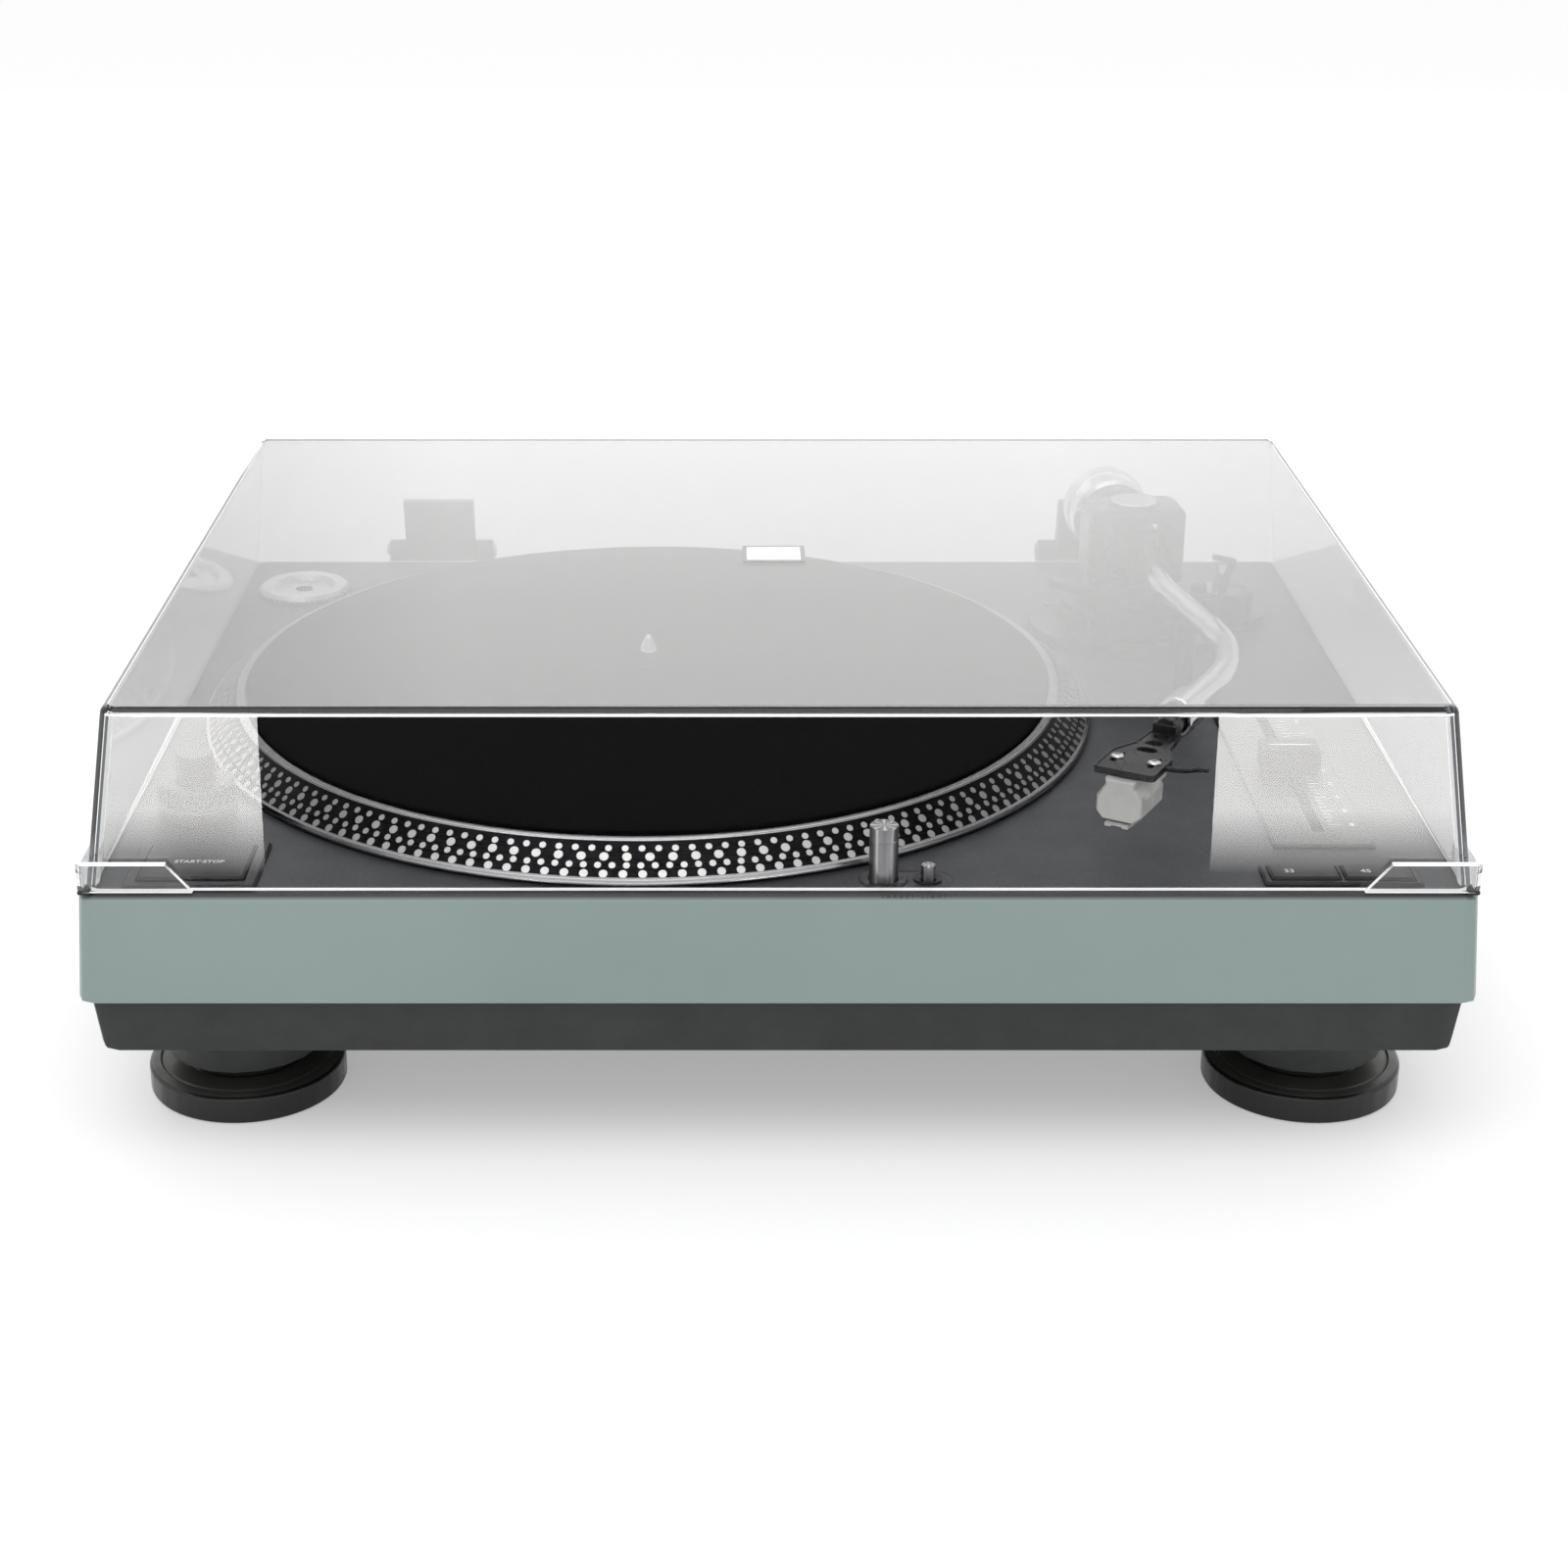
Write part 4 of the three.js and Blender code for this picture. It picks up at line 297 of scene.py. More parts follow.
def acrylic(name):
    """Clear polished plastic, without its tint."""
    look = Look(name, Transmission_Weight=1.0, IOR=ACRYLIC, Roughness=0.0)
    look.bump(look.noise(22.0, 2.0), 0.00001, 0.15)
    look.open_to_lamps((0.97, 0.98, 0.975))
    return look


def clear(name, tint):
    look = acrylic(name)
    darker = tuple(channel - 0.01 for channel in tint)
    look.colour(look.ramp(look.noise(6.0, 4.0), (0.3, darker), (0.7, tint)))
    return look


def clear_top(name):
    """The cover's top sheet, which swallows more light at a low angle, through more plastic."""
    look = acrylic(name)
    facing = look.node("LayerWeight", {"Blend": 0.5}).outputs["Facing"]
    low = look.spread(facing, 0.0, 1.0, 0.48, 0.68)
    look.colour(look.blend(low, (0.905, 0.905, 0.908), (0.125, 0.125, 0.127)))
    return look


def tint_and_painted_shade(name, colour, rough, through=1.0):
    """Clear plastic with a tint: the red lens's own colour, and a dark tint that is painted shade
    where the cover is seen along its thickness, at its front corners and front top.
    """
    look = Look(name, Transmission_Weight=through, IOR=ACRYLIC)
    look.colour(look.ramp(look.noise(80.0, 4.0), (0.3, colour), (0.7, dimmed(colour, 0.85))))
    look.rough(look.noise(900.0, 5.0), rough, rough * 2.2)
    look.open_to_lamps(colour)
    return look


def glowing_rim(name):
    """The cut edge of acrylic, which is frosted, with a painted glow: emission that stands in for the
    light it carries from the rest of the sheet.
    """
    look = Look(name, Roughness=0.6, Specular_IOR_Level=0.4, Emission_Color=(1.0, 0.97, 0.97, 1.0),
                Emission_Strength=0.35)
    cut = look.noise(700.0, 4.0)
    look.colour(look.ramp(cut, (0.3, (0.78, 0.77, 0.78)), (0.7, (0.88, 0.87, 0.88))))
    look.bump(cut, 0.00002, 0.4)
    return look


def printed(name, colour, rough=0.45):
    """Screen-printed ink with slightly uneven cover."""
    look = Look(name)
    look.colour(look.ramp(look.noise(900.0, 4.0), (0.3, dimmed(colour, 0.82)), (0.7, colour)))
    look.rough(look.noise(500.0), rough, rough + 0.15)
    look.bump(look.noise(3000.0), 0.00001, 0.3)
    return look


def turned(name, dark, light, low, high):
    """Metal turned on a lathe: fine rings about the platter's centre, with a painted highlight before
    and behind it.
    """
    look = Look(name, Metallic=1.0, Anisotropic=0.5)
    axes = look.axes(PLATTER)
    squares = (look.math("POWER", axes[way], 2.0) for way in "XY")
    square = look.math("ADD", *squares)
    ring_pitch = 0.00035
    inputs = {"Scale": 1.0 / ring_pitch, "Detail": 3.0, "W": look.math("SQRT", square)}
    rings = look.node("TexNoise", noise_dimensions="1D", inputs=inputs).outputs["Fac"]
    stain = look.spread(look.noise(30.0, 4.0), 0.0, 0.35)
    shine = look.blend(stain, look.ramp(rings, (0.3, dark), (0.7, light)), dark)
    # Painted highlight and shade: lighter before and behind the centre, darker to its sides
    look.colour(look.blend(1.0, shine, look.painted_highlight(axes), "MULTIPLY"))
    look.rough(rings, low, high)
    look.bump(rings, 0.00001, 0.5)
    return look


def dotted(name):
    """Hot-stamped silver dots, given the same painted highlight as the turned metal under them."""
    look = Look(name, Metallic=0.9)
    foil = look.noise(1800.0, 5.0, 0.7)
    shine = look.ramp(foil, (0.3, (0.74, 0.73, 0.72)), (0.7, (0.97, 0.96, 0.95)))
    # Painted highlight and shade, as on the platter's metal
    look.colour(look.blend(1.0, shine, look.painted_highlight(look.axes(PLATTER)), "MULTIPLY"))
    look.rough(foil, 0.30, 0.42)
    look.bump(foil, 0.000012, 0.6)
    return look


def painted_streaks(name, centre, crossed):
    """Turned aluminium with painted light: upright highlight streaks and darker sides on its side,
    and a cross-shaped highlight on its end.
    """
    look = Look(name, Metallic=0.85)
    axes = look.axes(centre)
    turn = look.math("ARCTAN2", axes["X"], look.math("MULTIPLY", axes["Y"], -1.0))
    share = look.math("ABSOLUTE", look.math("DIVIDE", turn, math.pi))
    grain = look.noise(2600.0, 4.0, 0.6, look.place(scale=(1.0, 1.0, 0.02)))
    # The ramps by angle about the axis are painted highlights and painted shade
    if crossed:
        share = look.math("PINGPONG", share, 0.25)
        shine = look.ramp(share, (0.0, 0.95), (0.07, 0.34), (0.18, (0.24, 0.24, 0.25)),
                          (0.25, 0.80))
    else:
        shine = look.ramp(share, (0.0, (0.30, 0.30, 0.31)), (0.13, (0.36, 0.36, 0.37)),
                          (0.19, (0.98, 0.98, 0.97)), (0.25, (0.42, 0.42, 0.43)), (0.38, 0.10),
                          (0.55, 0.08), (0.70, 0.70), (0.85, (0.34, 0.34, 0.35)))
    look.colour(look.blend(look.spread(grain, 0.0, 0.35), shine, (0.22, 0.22, 0.23)))
    look.rough(grain, 0.26, 0.40)
    look.bump(grain, 0.00001, 0.5)
    return look


# Each look's function, with what it takes after the name
LOOKS = {
    painted: {"plinth_paint": ()},
    felt: {"slipmat_felt": ()},
    clear_top: {"cover_top": ()},
    glowing_rim: {"cover_rim": ()},
    dotted: {"dot_silver": ()},
    clear: {
        "clear_cover": ((0.905, 0.905, 0.908),),
        "cover_lug": ((0.84, 0.85, 0.85),),
    },
    moulded: {
        "pan_black": ((0.019, 0.022, 0.020), (0.031, 0.035, 0.032), 0.50, 0.62, 900.0, 0.00006),
        "black_plastic": ((0.012, 0.012, 0.013), (0.026, 0.026, 0.028), 0.36, 0.50),
        "satin_black": ((0.010, 0.010, 0.011), (0.020, 0.020, 0.022), 0.24, 0.34, 2600.0, 0.00001),
        "foot_rubber": (0.006, 0.013, 0.20, 0.32, 1800.0, 0.00001),
        # Painted highlight: a lighter colour for the feet's top ring
        "foot_top": ((0.045, 0.045, 0.040), (0.075, 0.075, 0.068), 0.34, 0.46, 1800.0, 0.00001),
        "seal_rubber": (0.010, 0.024, 0.70, 0.85),
        "magnet": ((0.05, 0.05, 0.055), (0.10, 0.10, 0.105), 0.45, 0.60),
        "board": ((0.02, 0.09, 0.05), (0.03, 0.13, 0.07), 0.35, 0.50),
        "ivory": ((0.52, 0.52, 0.50), (0.66, 0.66, 0.64), 0.28, 0.40, 1800.0, 0.00001),
        "pale_shell": ((0.50, 0.50, 0.48), (0.68, 0.68, 0.66), 0.16, 0.28, 1800.0, 0.00001),
    },
    tint_and_painted_shade: {
        # The cover's two dark tints are painted shade
        "cover_corner": ((0.016, 0.020, 0.024), 0.05),
        "cover_navy": ((0.030, 0.036, 0.052), 0.03),
        "lens_red": ((0.75, 0.03, 0.02), 0.10, 0.5),
    },
    turned: {
        "platter_metal": ((0.50, 0.50, 0.51), (0.78, 0.78, 0.79), 0.16, 0.30),
        "platter_band": ((0.010, 0.010, 0.011), (0.022, 0.022, 0.024), 0.26, 0.40),
    },
    metal: {
        "steel": ((0.46, 0.46, 0.47), (0.66, 0.66, 0.67), 0.16, 0.28),
        "satin_steel": ((0.20, 0.20, 0.21), (0.34, 0.34, 0.35), 0.30, 0.42),
        "bright_metal": ((0.62, 0.62, 0.63), (0.80, 0.80, 0.81), 0.10, 0.20),
        "brass": ((0.60, 0.42, 0.18), (0.80, 0.60, 0.28), 0.20, 0.34),
        "brushed_metal": ((0.42, 0.42, 0.43), (0.68, 0.68, 0.69), 0.22, 0.34,
                          (1.0, 1.0, 0.03), 1600.0, 0.00002, 0.6),
    },
    printed: {
        "print_white": ((0.78, 0.78, 0.77),),
        "print_dark": ((0.014, 0.014, 0.015),),
        "plate_grey": (0.46,),
        "plate_white": ((0.90, 0.90, 0.89), 0.30),
        "wire_blue": ((0.05, 0.10, 0.40),),
        "wire_green": ((0.05, 0.30, 0.10),),
        "wire_red": ((0.50, 0.03, 0.03),),
    },
    painted_streaks: {
        # Painted streak and cross highlights on the pop-up light and its catch
        "light_barrel": (LIGHT, False),
        "light_cap": (LIGHT, True),
        "catch_barrel": (CATCH, False),
        "catch_cap": (CATCH, True),
    },
}
looks = {name: make(name, *values).material
         for make, table in LOOKS.items() for name, values in table.items()}


# Looks and smooth shading for the CAD solids, whose own meshes stay as they are

def smoothing_group():
    joined_within, sharp_over = 0.000004, math.radians(31.0)
    group = bpy.data.node_groups.new("smooth_solid", "GeometryNodeTree")
    for way in ("INPUT", "OUTPUT"):
        group.interface.new_socket("Geometry", in_out=way, socket_type="NodeSocketGeometry")
    entry, leave, merge, smooth, sharp, angle, compare = (group.nodes.new(kind) for kind in (
        "NodeGroupInput", "NodeGroupOutput", "GeometryNodeMergeByDistance",
        "GeometryNodeSetShadeSmooth", "GeometryNodeSetShadeSmooth",
        "GeometryNodeInputMeshEdgeAngle", "FunctionNodeCompare"))
    merge.inputs["Distance"].default_value = joined_within
    smooth.inputs["Shade Smooth"].default_value = True
    sharp.inputs["Shade Smooth"].default_value = False
    sharp.domain = "EDGE"
    compare.data_type = "FLOAT"
    compare.operation = "GREATER_THAN"
    compare.inputs[1].default_value = sharp_over
    for source, target in (
            (entry.outputs[0], merge.inputs["Geometry"]),
            (merge.outputs["Geometry"], smooth.inputs["Geometry"]),
            (smooth.outputs["Geometry"], sharp.inputs["Geometry"]),
            (angle.outputs["Unsigned Angle"], compare.inputs[0]),
            (compare.outputs[0], sharp.inputs["Selection"]),
            (sharp.outputs["Geometry"], leave.inputs[0])):
        group.links.new(source, target)
    return group


def even_normals(obj):
    """Shading follows the large flat faces, so that they stay flat up to their rounded edges."""
    given(obj.modifiers.new("even", "WEIGHTED_NORMAL"), mode="FACE_AREA", weight=100, thresh=0.0,
          keep_sharp=True)


smooth_solid = smoothing_group()
finer_looks = {"stylus_light_sleeve": "satin_black", "tonearm_yoke": "satin_black"}
cad_slots = {part["node"]: part["material_slot"] for part in frame["record"]["subparts"]}
for node, solid in frame["nodes"].items():
    solid.data.materials.clear()
    solid.data.materials.append(looks[finer_looks.get(node, cad_slots[node])])
    solid.modifiers.new("smooth", "NODES").node_group = smooth_solid
    even_normals(solid)


# Pieces

def piece(name, points, faces, body, look, slot=None, replaces=(), angle=32.0, picks=None):
    """A new piece in millimetres. Where look is a list, picks gives each face's place in it."""
    mesh = bpy.data.meshes.new(name)
    mesh.from_pydata([tuple(c * MM for c in point) for point in points], [], faces)
    for entry in look if isinstance(look, list) else [look]:
        mesh.materials.append(looks[entry])
    if picks is not None:
        mesh.polygons.foreach_set("material_index", picks)
    work = bmesh.new()
    work.from_mesh(mesh)
    bmesh.ops.remove_doubles(work, verts=work.verts, dist=SAME_POINT)
    bmesh.ops.recalc_face_normals(work, faces=work.faces)
    work.to_mesh(mesh)
    work.free()
    mesh.shade_smooth()
    mesh.set_sharp_from_angle(angle=math.radians(angle))
    obj = added(name, mesh)
    even_normals(obj)
    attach(obj, body)
    if replaces:
        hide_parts(*replaces)


def words(name, text, size, place, body, look="print_white", face=Matrix(), wide=1.0, bold=0.04):
    """Raised lettering at a place on a face, in millimetres."""
    data = given(bpy.data.curves.new(name, "FONT"), body=text, size=size * MM,
                 extrude=INK_WORDS * MM, offset=bold * MM, align_x="CENTER", align_y="CENTER",
                 space_character=wide)
    data.materials.append(looks[look])
    obj = added(name, data)
    spot = face @ Matrix.Translation(place)
    obj.matrix_world = Matrix.Translation(spot.translation * MM) @ spot.to_3x3().to_4x4()
    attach(obj, body)


def box_top(node):
    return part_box(node)[1][2] / MM


# Shapes, each as its points and faces

def carried(points, matrix):
    return [tuple(matrix @ Vector(point)) for point in points]


def moved(shape, matrix):
    return carried(shape[0], matrix), shape[1]


def at(x, y, z, turn=0.0):
    return Matrix.Translation((x, y, z)) @ Matrix.Rotation(turn, 4, "Z")


def gather(*shapes):
    """Several shapes as one."""
    points = []
    faces = []
    for some_points, some_faces in shapes:
        start = len(points)
        points.extend(some_points)
        faces.extend(tuple(start + index for index in face) for face in some_faces)
    return points, faces


def circle(sides):
    """The cosine and sine of each of a ring's points."""
    turns = [2.0 * math.pi * step / sides for step in range(sides)]
    return [(math.cos(turn), math.sin(turn)) for turn in turns]


def band(low, high, count):
    """Faces between two rings of count points, which start at the points low and high."""
    return [(low + step, low + (step + 1) % count, high + (step + 1) % count, high + step)
            for step in range(count)]


def stacked(rings):
    """A body from rings of as many points each, closed at both ends. The ends' faces come first."""
    count = len(rings[0])
    points = [point for ring in rings for point in ring]
    last = len(points) - count
    faces = [tuple(reversed(range(count))), tuple(range(last, last + count))]
    for start in range(0, last, count):
        faces += band(start, start + count, count)
    return points, faces


def lathe(profile, sides, matrix, closed=False):
    """A profile of (radius, height) turned about Z, then moved by matrix, and each face's row."""
    points = []
    rings = []
    for radius, high in profile:
        spots = circle(sides) if radius else [(0.0, 0.0)]
        rings.append(range(len(points), len(points) + len(spots)))
        points += [(radius * x, radius * y, high) for x, y in spots]
    faces = []
    rows = []
    following = rings[1:] + (rings[:1] if closed else [])
    for row, (low, high) in enumerate(zip(rings, following)):
        for step in range(sides):
            after = (step + 1) % sides
            if len(low) == 1:
                faces.append((low[0], high[step], high[after]))
            elif len(high) == 1:
                faces.append((low[step], low[after], high[0]))
            else:
                faces.append((low[step], low[after], high[after], high[step]))
            rows.append(row)
    return carried(points, matrix), faces, rows


def inset(outline, by):
    """A closed outline, turning left, moved inwards."""
    inner = []
    for index, point in enumerate(outline):
        before = Vector(outline[index - 1])
        here = Vector(point)
        after = Vector(outline[(index + 1) % len(outline)])
        way = ((here - before).normalized() + (after - here).normalized()).normalized()
        inner.append(tuple(here + Vector((-way.y, way.x)) * by))
    return inner


def prism(outline, low, high, edge=0.0):
    """An outline of (x, y) raised from low to high, with a small chamfer round its top."""
    rows = [(outline, low), (outline, high - edge)]
    if edge:
        rows.append((inset(outline, edge), high))
    return stacked([[(x, y, level) for x, y in row] for row, level in rows])


def along_y(face, stations):
    """An outline of (x, z) carried along y, at (y, inset) stations."""
    return stacked([[(x, y, z) for x, z in (inset(face, by) if by else face)]
                    for y, by in stations])


def rounded(half_x, half_y, radius, steps, centre):
    """A rounded rectangle's outline, turning left."""
    points = []
    for corner, (side_x, side_y) in enumerate(((1, 1), (-1, 1), (-1, -1), (1, -1))):
        for step in range(steps + 1):
            angle = (corner + step / steps) * math.pi / 2
            points.append((centre[0] + side_x * (half_x - radius) + radius * math.cos(angle),
                           centre[1] + side_y * (half_y - radius) + radius * math.sin(angle)))
    return points


def outline_strip(outline, width, low, high):
    """A thin flat line along a closed outline."""
    count = len(outline)
    inner = inset(outline, width)
    points = [(x, y, z) for z in (low, high) for row in (outline, inner) for x, y in row]
    starts = [0, count, 3 * count, 2 * count]
    return points, [face for here, there in zip(starts, starts[1:] + starts[:1])
                    for face in band(here, there, count)]


def tube(path, radius, sides, taper=0.0):
    """A round bar along a path of Vectors, which loses the taper's share of its radius."""
    rings = []
    side = None
    last = len(path) - 1
    for index, here in enumerate(path):
        along = (path[min(index + 1, last)] - path[max(index - 1, 0)]).normalized()
        if side is None:
            side = along.orthogonal().normalized()
        side = (side - along * side.dot(along)).normalized()
        other = along.cross(side)
        size = radius * (1.0 - taper * (index / last))
        rings.append([tuple(here + size * (x * side + y * other)) for x, y in circle(sides)])
    return stacked(rings)


def smooth_path(points, steps):
    """A centripetal Catmull-Rom curve through points."""
    def between(first, second, start, end, time):
        return first * ((end - time) / (end - start)) + second * ((time - start) / (end - start))

    ends = [2 * points[0] - points[1]] + points + [2 * points[-1] - points[-2]]
    path = []
    for index in range(1, len(ends) - 2):
        a, b, c, d = ends[index - 1:index + 3]
        t0 = 0.0
        t1 = t0 + math.sqrt((b - a).length)
        t2 = t1 + math.sqrt((c - b).length)
        t3 = t2 + math.sqrt((d - c).length)
        for step in range(steps):
            t = t1 + (t2 - t1) * step / steps
            middle = between(b, c, t1, t2, t)
            one = between(between(a, b, t0, t1, t), middle, t0, t2, t)
            two = between(middle, between(c, d, t2, t3, t), t1, t3, t)
            path.append(between(one, two, t1, t2, t))
    path.append(points[-1])
    return path


def within(point, loop):
    """Whether a point is inside a closed outline."""
    hit = False
    for index, here in enumerate(loop):
        before = loop[index - 1]
        if (here[1] > point[1]) != (before[1] > point[1]):
            share = (point[1] - before[1]) / (here[1] - before[1])
            hit = hit != (point[0] < before[0] + share * (here[0] - before[0]))
    return hit


def plate(outline, holes, low, high):
    """A flat plate with holes through it."""
    loops = [outline, *holes]
    edges = []
    points = []
    faces = []
    for loop in loops:
        start = len(points) // 2
        count = len(loop)
        edges += [(start + index, start + (index + 1) % count) for index in range(count)]
        for x, y in loop:
            points += [(x, y, low), (x, y, high)]
        for index in range(count):
            here = 2 * (start + index)
            after = 2 * (start + (index + 1) % count)
            faces.append((here, after, after + 1, here + 1))
    flat = [Vector(point) for loop in loops for point in loop]
    corners, _, triangles = delaunay_2d_cdt(flat, edges, [], 0, 0.00001)[:3]
    start = len(points)
    points += [(x, y, z) for z in (low, high) for x, y in corners]
    for triangle in triangles:
        middle = sum((corners[index] for index in triangle), Vector((0.0, 0.0))) / 3
        if within(middle, outline) and not any(within(middle, hole) for hole in holes):
            faces.append(tuple(start + index for index in reversed(triangle)))
            faces.append(tuple(start + len(corners) + index for index in triangle))
    return points, faces


def ribs(count, inner, outer, width, low, high, matrix):
    """Ribs all round a knob, each narrower at its crest."""
    foot, crest = width / 2, width / 2 * 0.4
    rib = prism([(inner, -foot), (outer, -crest), (outer, crest), (inner, foot)], low, high)
    turns = (Matrix.Rotation(2 * math.pi * index / count, 4, "Z") for index in range(count))
    return gather(*(moved(rib, matrix @ turn) for turn in turns))


# Platter, dots, slipmat and spindle

def platter():
    profile = [
        (SPINDLE_HOLE, 7.6), (SPINDLE_HOLE, 10.9), (149.45, 10.9), (149.6, 11.9), (149.9, 12.2),
        (152.4, 12.2), (152.75, 12.0), BEVEL_TOP, BEVEL_FOOT, (163.6, 3.35), (164.3, 3.1),
        (164.8, 2.6), (165.0, 1.9), (165.0, 1.2), (164.8, 0.9), (157.0, 0.9), (155.0, 0.9),
        (155.0, -6.6), (154.6, -7.0), (148.4, -7.0), (148.0, -6.6), (148.0, 7.5), (44.0, 7.5),
        (44.0, 7.0), (42.6, 7.0), (42.6, 7.6),
    ]
    bevel_row, underside_row = 7, 14
    points, faces, rows = lathe(profile, 288, at(*PLATTER, DECK), closed=True)
    picks = [1 if row in (bevel_row, underside_row) else 0 for row in rows]
    piece("platter_casting", points, faces, "turntable", ["platter_metal", "platter_band"],
          "platter_metal", ["platter"], picks=picks)


def dots():
    """Four rings of silver dots for checking the speed, on the platter's bevel."""
    along = (Vector(BEVEL_FOOT) - Vector(BEVEL_TOP)).normalized()
    out = Vector((-along.y, along.x))
    sides = 12
    # Each ring's share of the way down the bevel, number of dots and radius of a dot
    rings = ((0.205, 180, 1.15), (0.435, 133, 1.55), (0.67, 216, 1.15), (0.905, 160, 1.45))
    first_dot_share = 0.37
    points = []
    faces = []
    for share, count, size in rings:
        middle = Vector(BEVEL_TOP) + (Vector(BEVEL_FOOT) - Vector(BEVEL_TOP)) * share
        for index in range(count):
            turn = 2 * math.pi * (index + first_dot_share) / count
            start = len(points)
            for lift, width in ((0.01, size), (0.07, size * 0.96)):
                for x, y in circle(sides):
                    across = width * x
                    radial = middle + along * (width * y) + out * lift
                    points.append((
                        PLATTER[0] + radial.x * math.cos(turn) - across * math.sin(turn),
                        PLATTER[1] + radial.x * math.sin(turn) + across * math.cos(turn),
                        DECK + radial.y,
                    ))
            faces.append(tuple(range(start + sides, start + 2 * sides)))
            faces += band(start, start + sides, sides)
    piece("speed_dots", points, faces, "turntable", "dot_silver", "platter_metal")


def slipmat():
    """A felt disc, whose top dips a little in soft waves."""
    random.seed(3)
    edge, foot = 149.25, 11.05
    rings = [SPINDLE_HOLE, 3.9, 20, 36, 52, 68, 84, 100, 112, 124, 134, 142, 147.5, 148.8, edge]
    top = [13.2] + [13.5] * 12 + [13.4, 13.0]
    waves = [(random.uniform(0.01, 0.06), random.randint(2, 9), random.uniform(0, 6.28))
             for _ in range(7)]
    swirl, full_at = 31.0, 150.0
    sides = 192
    rows = [(SPINDLE_HOLE, foot, 0), *((r, z, 1) for r, z in zip(rings, top)), (edge, foot, 0)]
    points = []
    faces = []
    for radius, high, free in rows:
        for step in range(sides):
            angle = 2 * math.pi * step / sides
            lift = sum(size * math.sin(count * angle + phase + radius / swirl)
                       for size, count, phase in waves) if free else 0.0
            points.append((PLATTER[0] + radius * math.cos(angle),
                           PLATTER[1] + radius * math.sin(angle),
                           DECK + high + min(lift * (radius / full_at), 0.0)))
    for row in range(len(rows)):
        faces += band(row * sides, (row + 1) % len(rows) * sides, sides)
    piece("slipmat_disc", points, faces, "turntable", "slipmat_felt", "slipmat_felt", ["slipmat"])


def spindle():
    profile = [(0.0, 26.2), (0.9, 26.0), (1.5, 25.2), (1.9, 24.0), (3.2, 21.4), (3.55, 20.2),
               (3.6, 19.0), (3.6, -33.0), (3.0, -33.6), (0.0, -33.6)]
    points, faces, _ = lathe(profile, 48, at(*PLATTER, DECK))
    piece("spindle_pin", points, faces, "turntable", "bright_metal", "steel", ["spindle"])


platter()
dots()
slipmat()
spindle()


# Clear cover

def cover_shell():
    """One sheet of even wall. Its front corners and front top get a dark tint, painted shade for
    where light turns aside in the plastic; its cut bottom edge and one row along the front top edge
    get a painted glow.
    """
    high, wall, edge, fillet = COVER_HIGH, 2.8, 2.4, 0.6
    half_low, front_low, rear_low = 222.4, -173.6, 164.4
    half_lean, front_lean, rear_lean = 8.4, 6.0, 11.5
    outer_radius, inner_radius, top_radius = 5.0, 2.2, 1.0
    corner_steps, side_steps, edge_steps = 8, 6, 5
    wedge_left, wedge_across, least_share = -130.0, 350.0, 0.08
    front_half, front_face, front_shade_left = -100.0, -150.0, -125.0

    def level(z, inwards, radius, wedge=0.0):
        """The outline at a height. Its front can move back by a wedge that widens to the right."""
        share = (z - COVER_LOW) / (high - COVER_LOW)
        half = half_low - half_lean * share - inwards
        front = front_low + front_lean * share + inwards
        rear = rear_low - rear_lean * share - inwards
        centre = (0.0, (front + rear) / 2)
        outline = rounded(half, (rear - front) / 2, radius, corner_steps, centre)
        return [(x, y + (wedge * max(least_share, (x - wedge_left) / wedge_across)
                         if y < front_half else 0.0), z) for x, y in outline]

    rim_high = COVER_LOW + 3
    outer = [level(COVER_LOW, 0.0, outer_radius)]
    outer += [level(rim_high + (high - edge - rim_high) * step / side_steps, 0.0, outer_radius)
              for step in range(side_steps + 1)]
    for step in range(1, edge_steps + 1):
        angle = step / edge_steps * math.pi / 2
        inwards = edge * (1 - math.cos(angle))
        outer.append(level(high - edge + edge * math.sin(angle), inwards,
                           max(outer_radius - inwards, top_radius)))
    outer.append(level(high, edge + 0.05, top_radius, wedge=2.2))
    inner_high = high - wall
    inner = [level(COVER_LOW + (inner_high - fillet - COVER_LOW) * step / side_steps, wall,
                   inner_radius) for step in range(side_steps + 1)]
    inner.append(level(inner_high, wall + fillet, inner_radius - fillet))
    rings = list(reversed(outer)) + inner
    points, faces = stacked(rings)

    count = len(rings[0])
    rim_row = len(outer) - 1
    sheet, rim, corner, front_shade, top = range(5)
    corners = {*range(2 * corner_steps + 2, 2 * corner_steps + 7),
               *range(4 * corner_steps - 2, 4 * corner_steps + 3)}
    picks = [top, top]
    for row in range(len(rings) - 1):
        for step in range(count):
            x, y, _ = points[row * count + step]
            forward = max(y, points[row * count + (step + 1) % count][1]) < front_face
            # Painted light: the glowing rim look on the cut bottom edge and the front top edge's
            # lowest row, the dark band above it at the front, and the dark tint at the front corners
            if row == rim_row or row == edge_steps and forward and step not in corners:
                picks.append(rim)
            elif row == 0:
                picks.append(front_shade if forward else sheet)
            elif row < rim_row and step in corners:
                picks.append(corner)
            elif row < edge_steps and forward and x > front_shade_left:
                picks.append(front_shade)
            else:
                picks.append(sheet)
    piece("cover_shell", points, faces, "cover",
          ["clear_cover", "cover_rim", "cover_corner", "cover_navy", "cover_top"],
          "clear_cover", ["dust_cover"], picks=picks, angle=40.0)


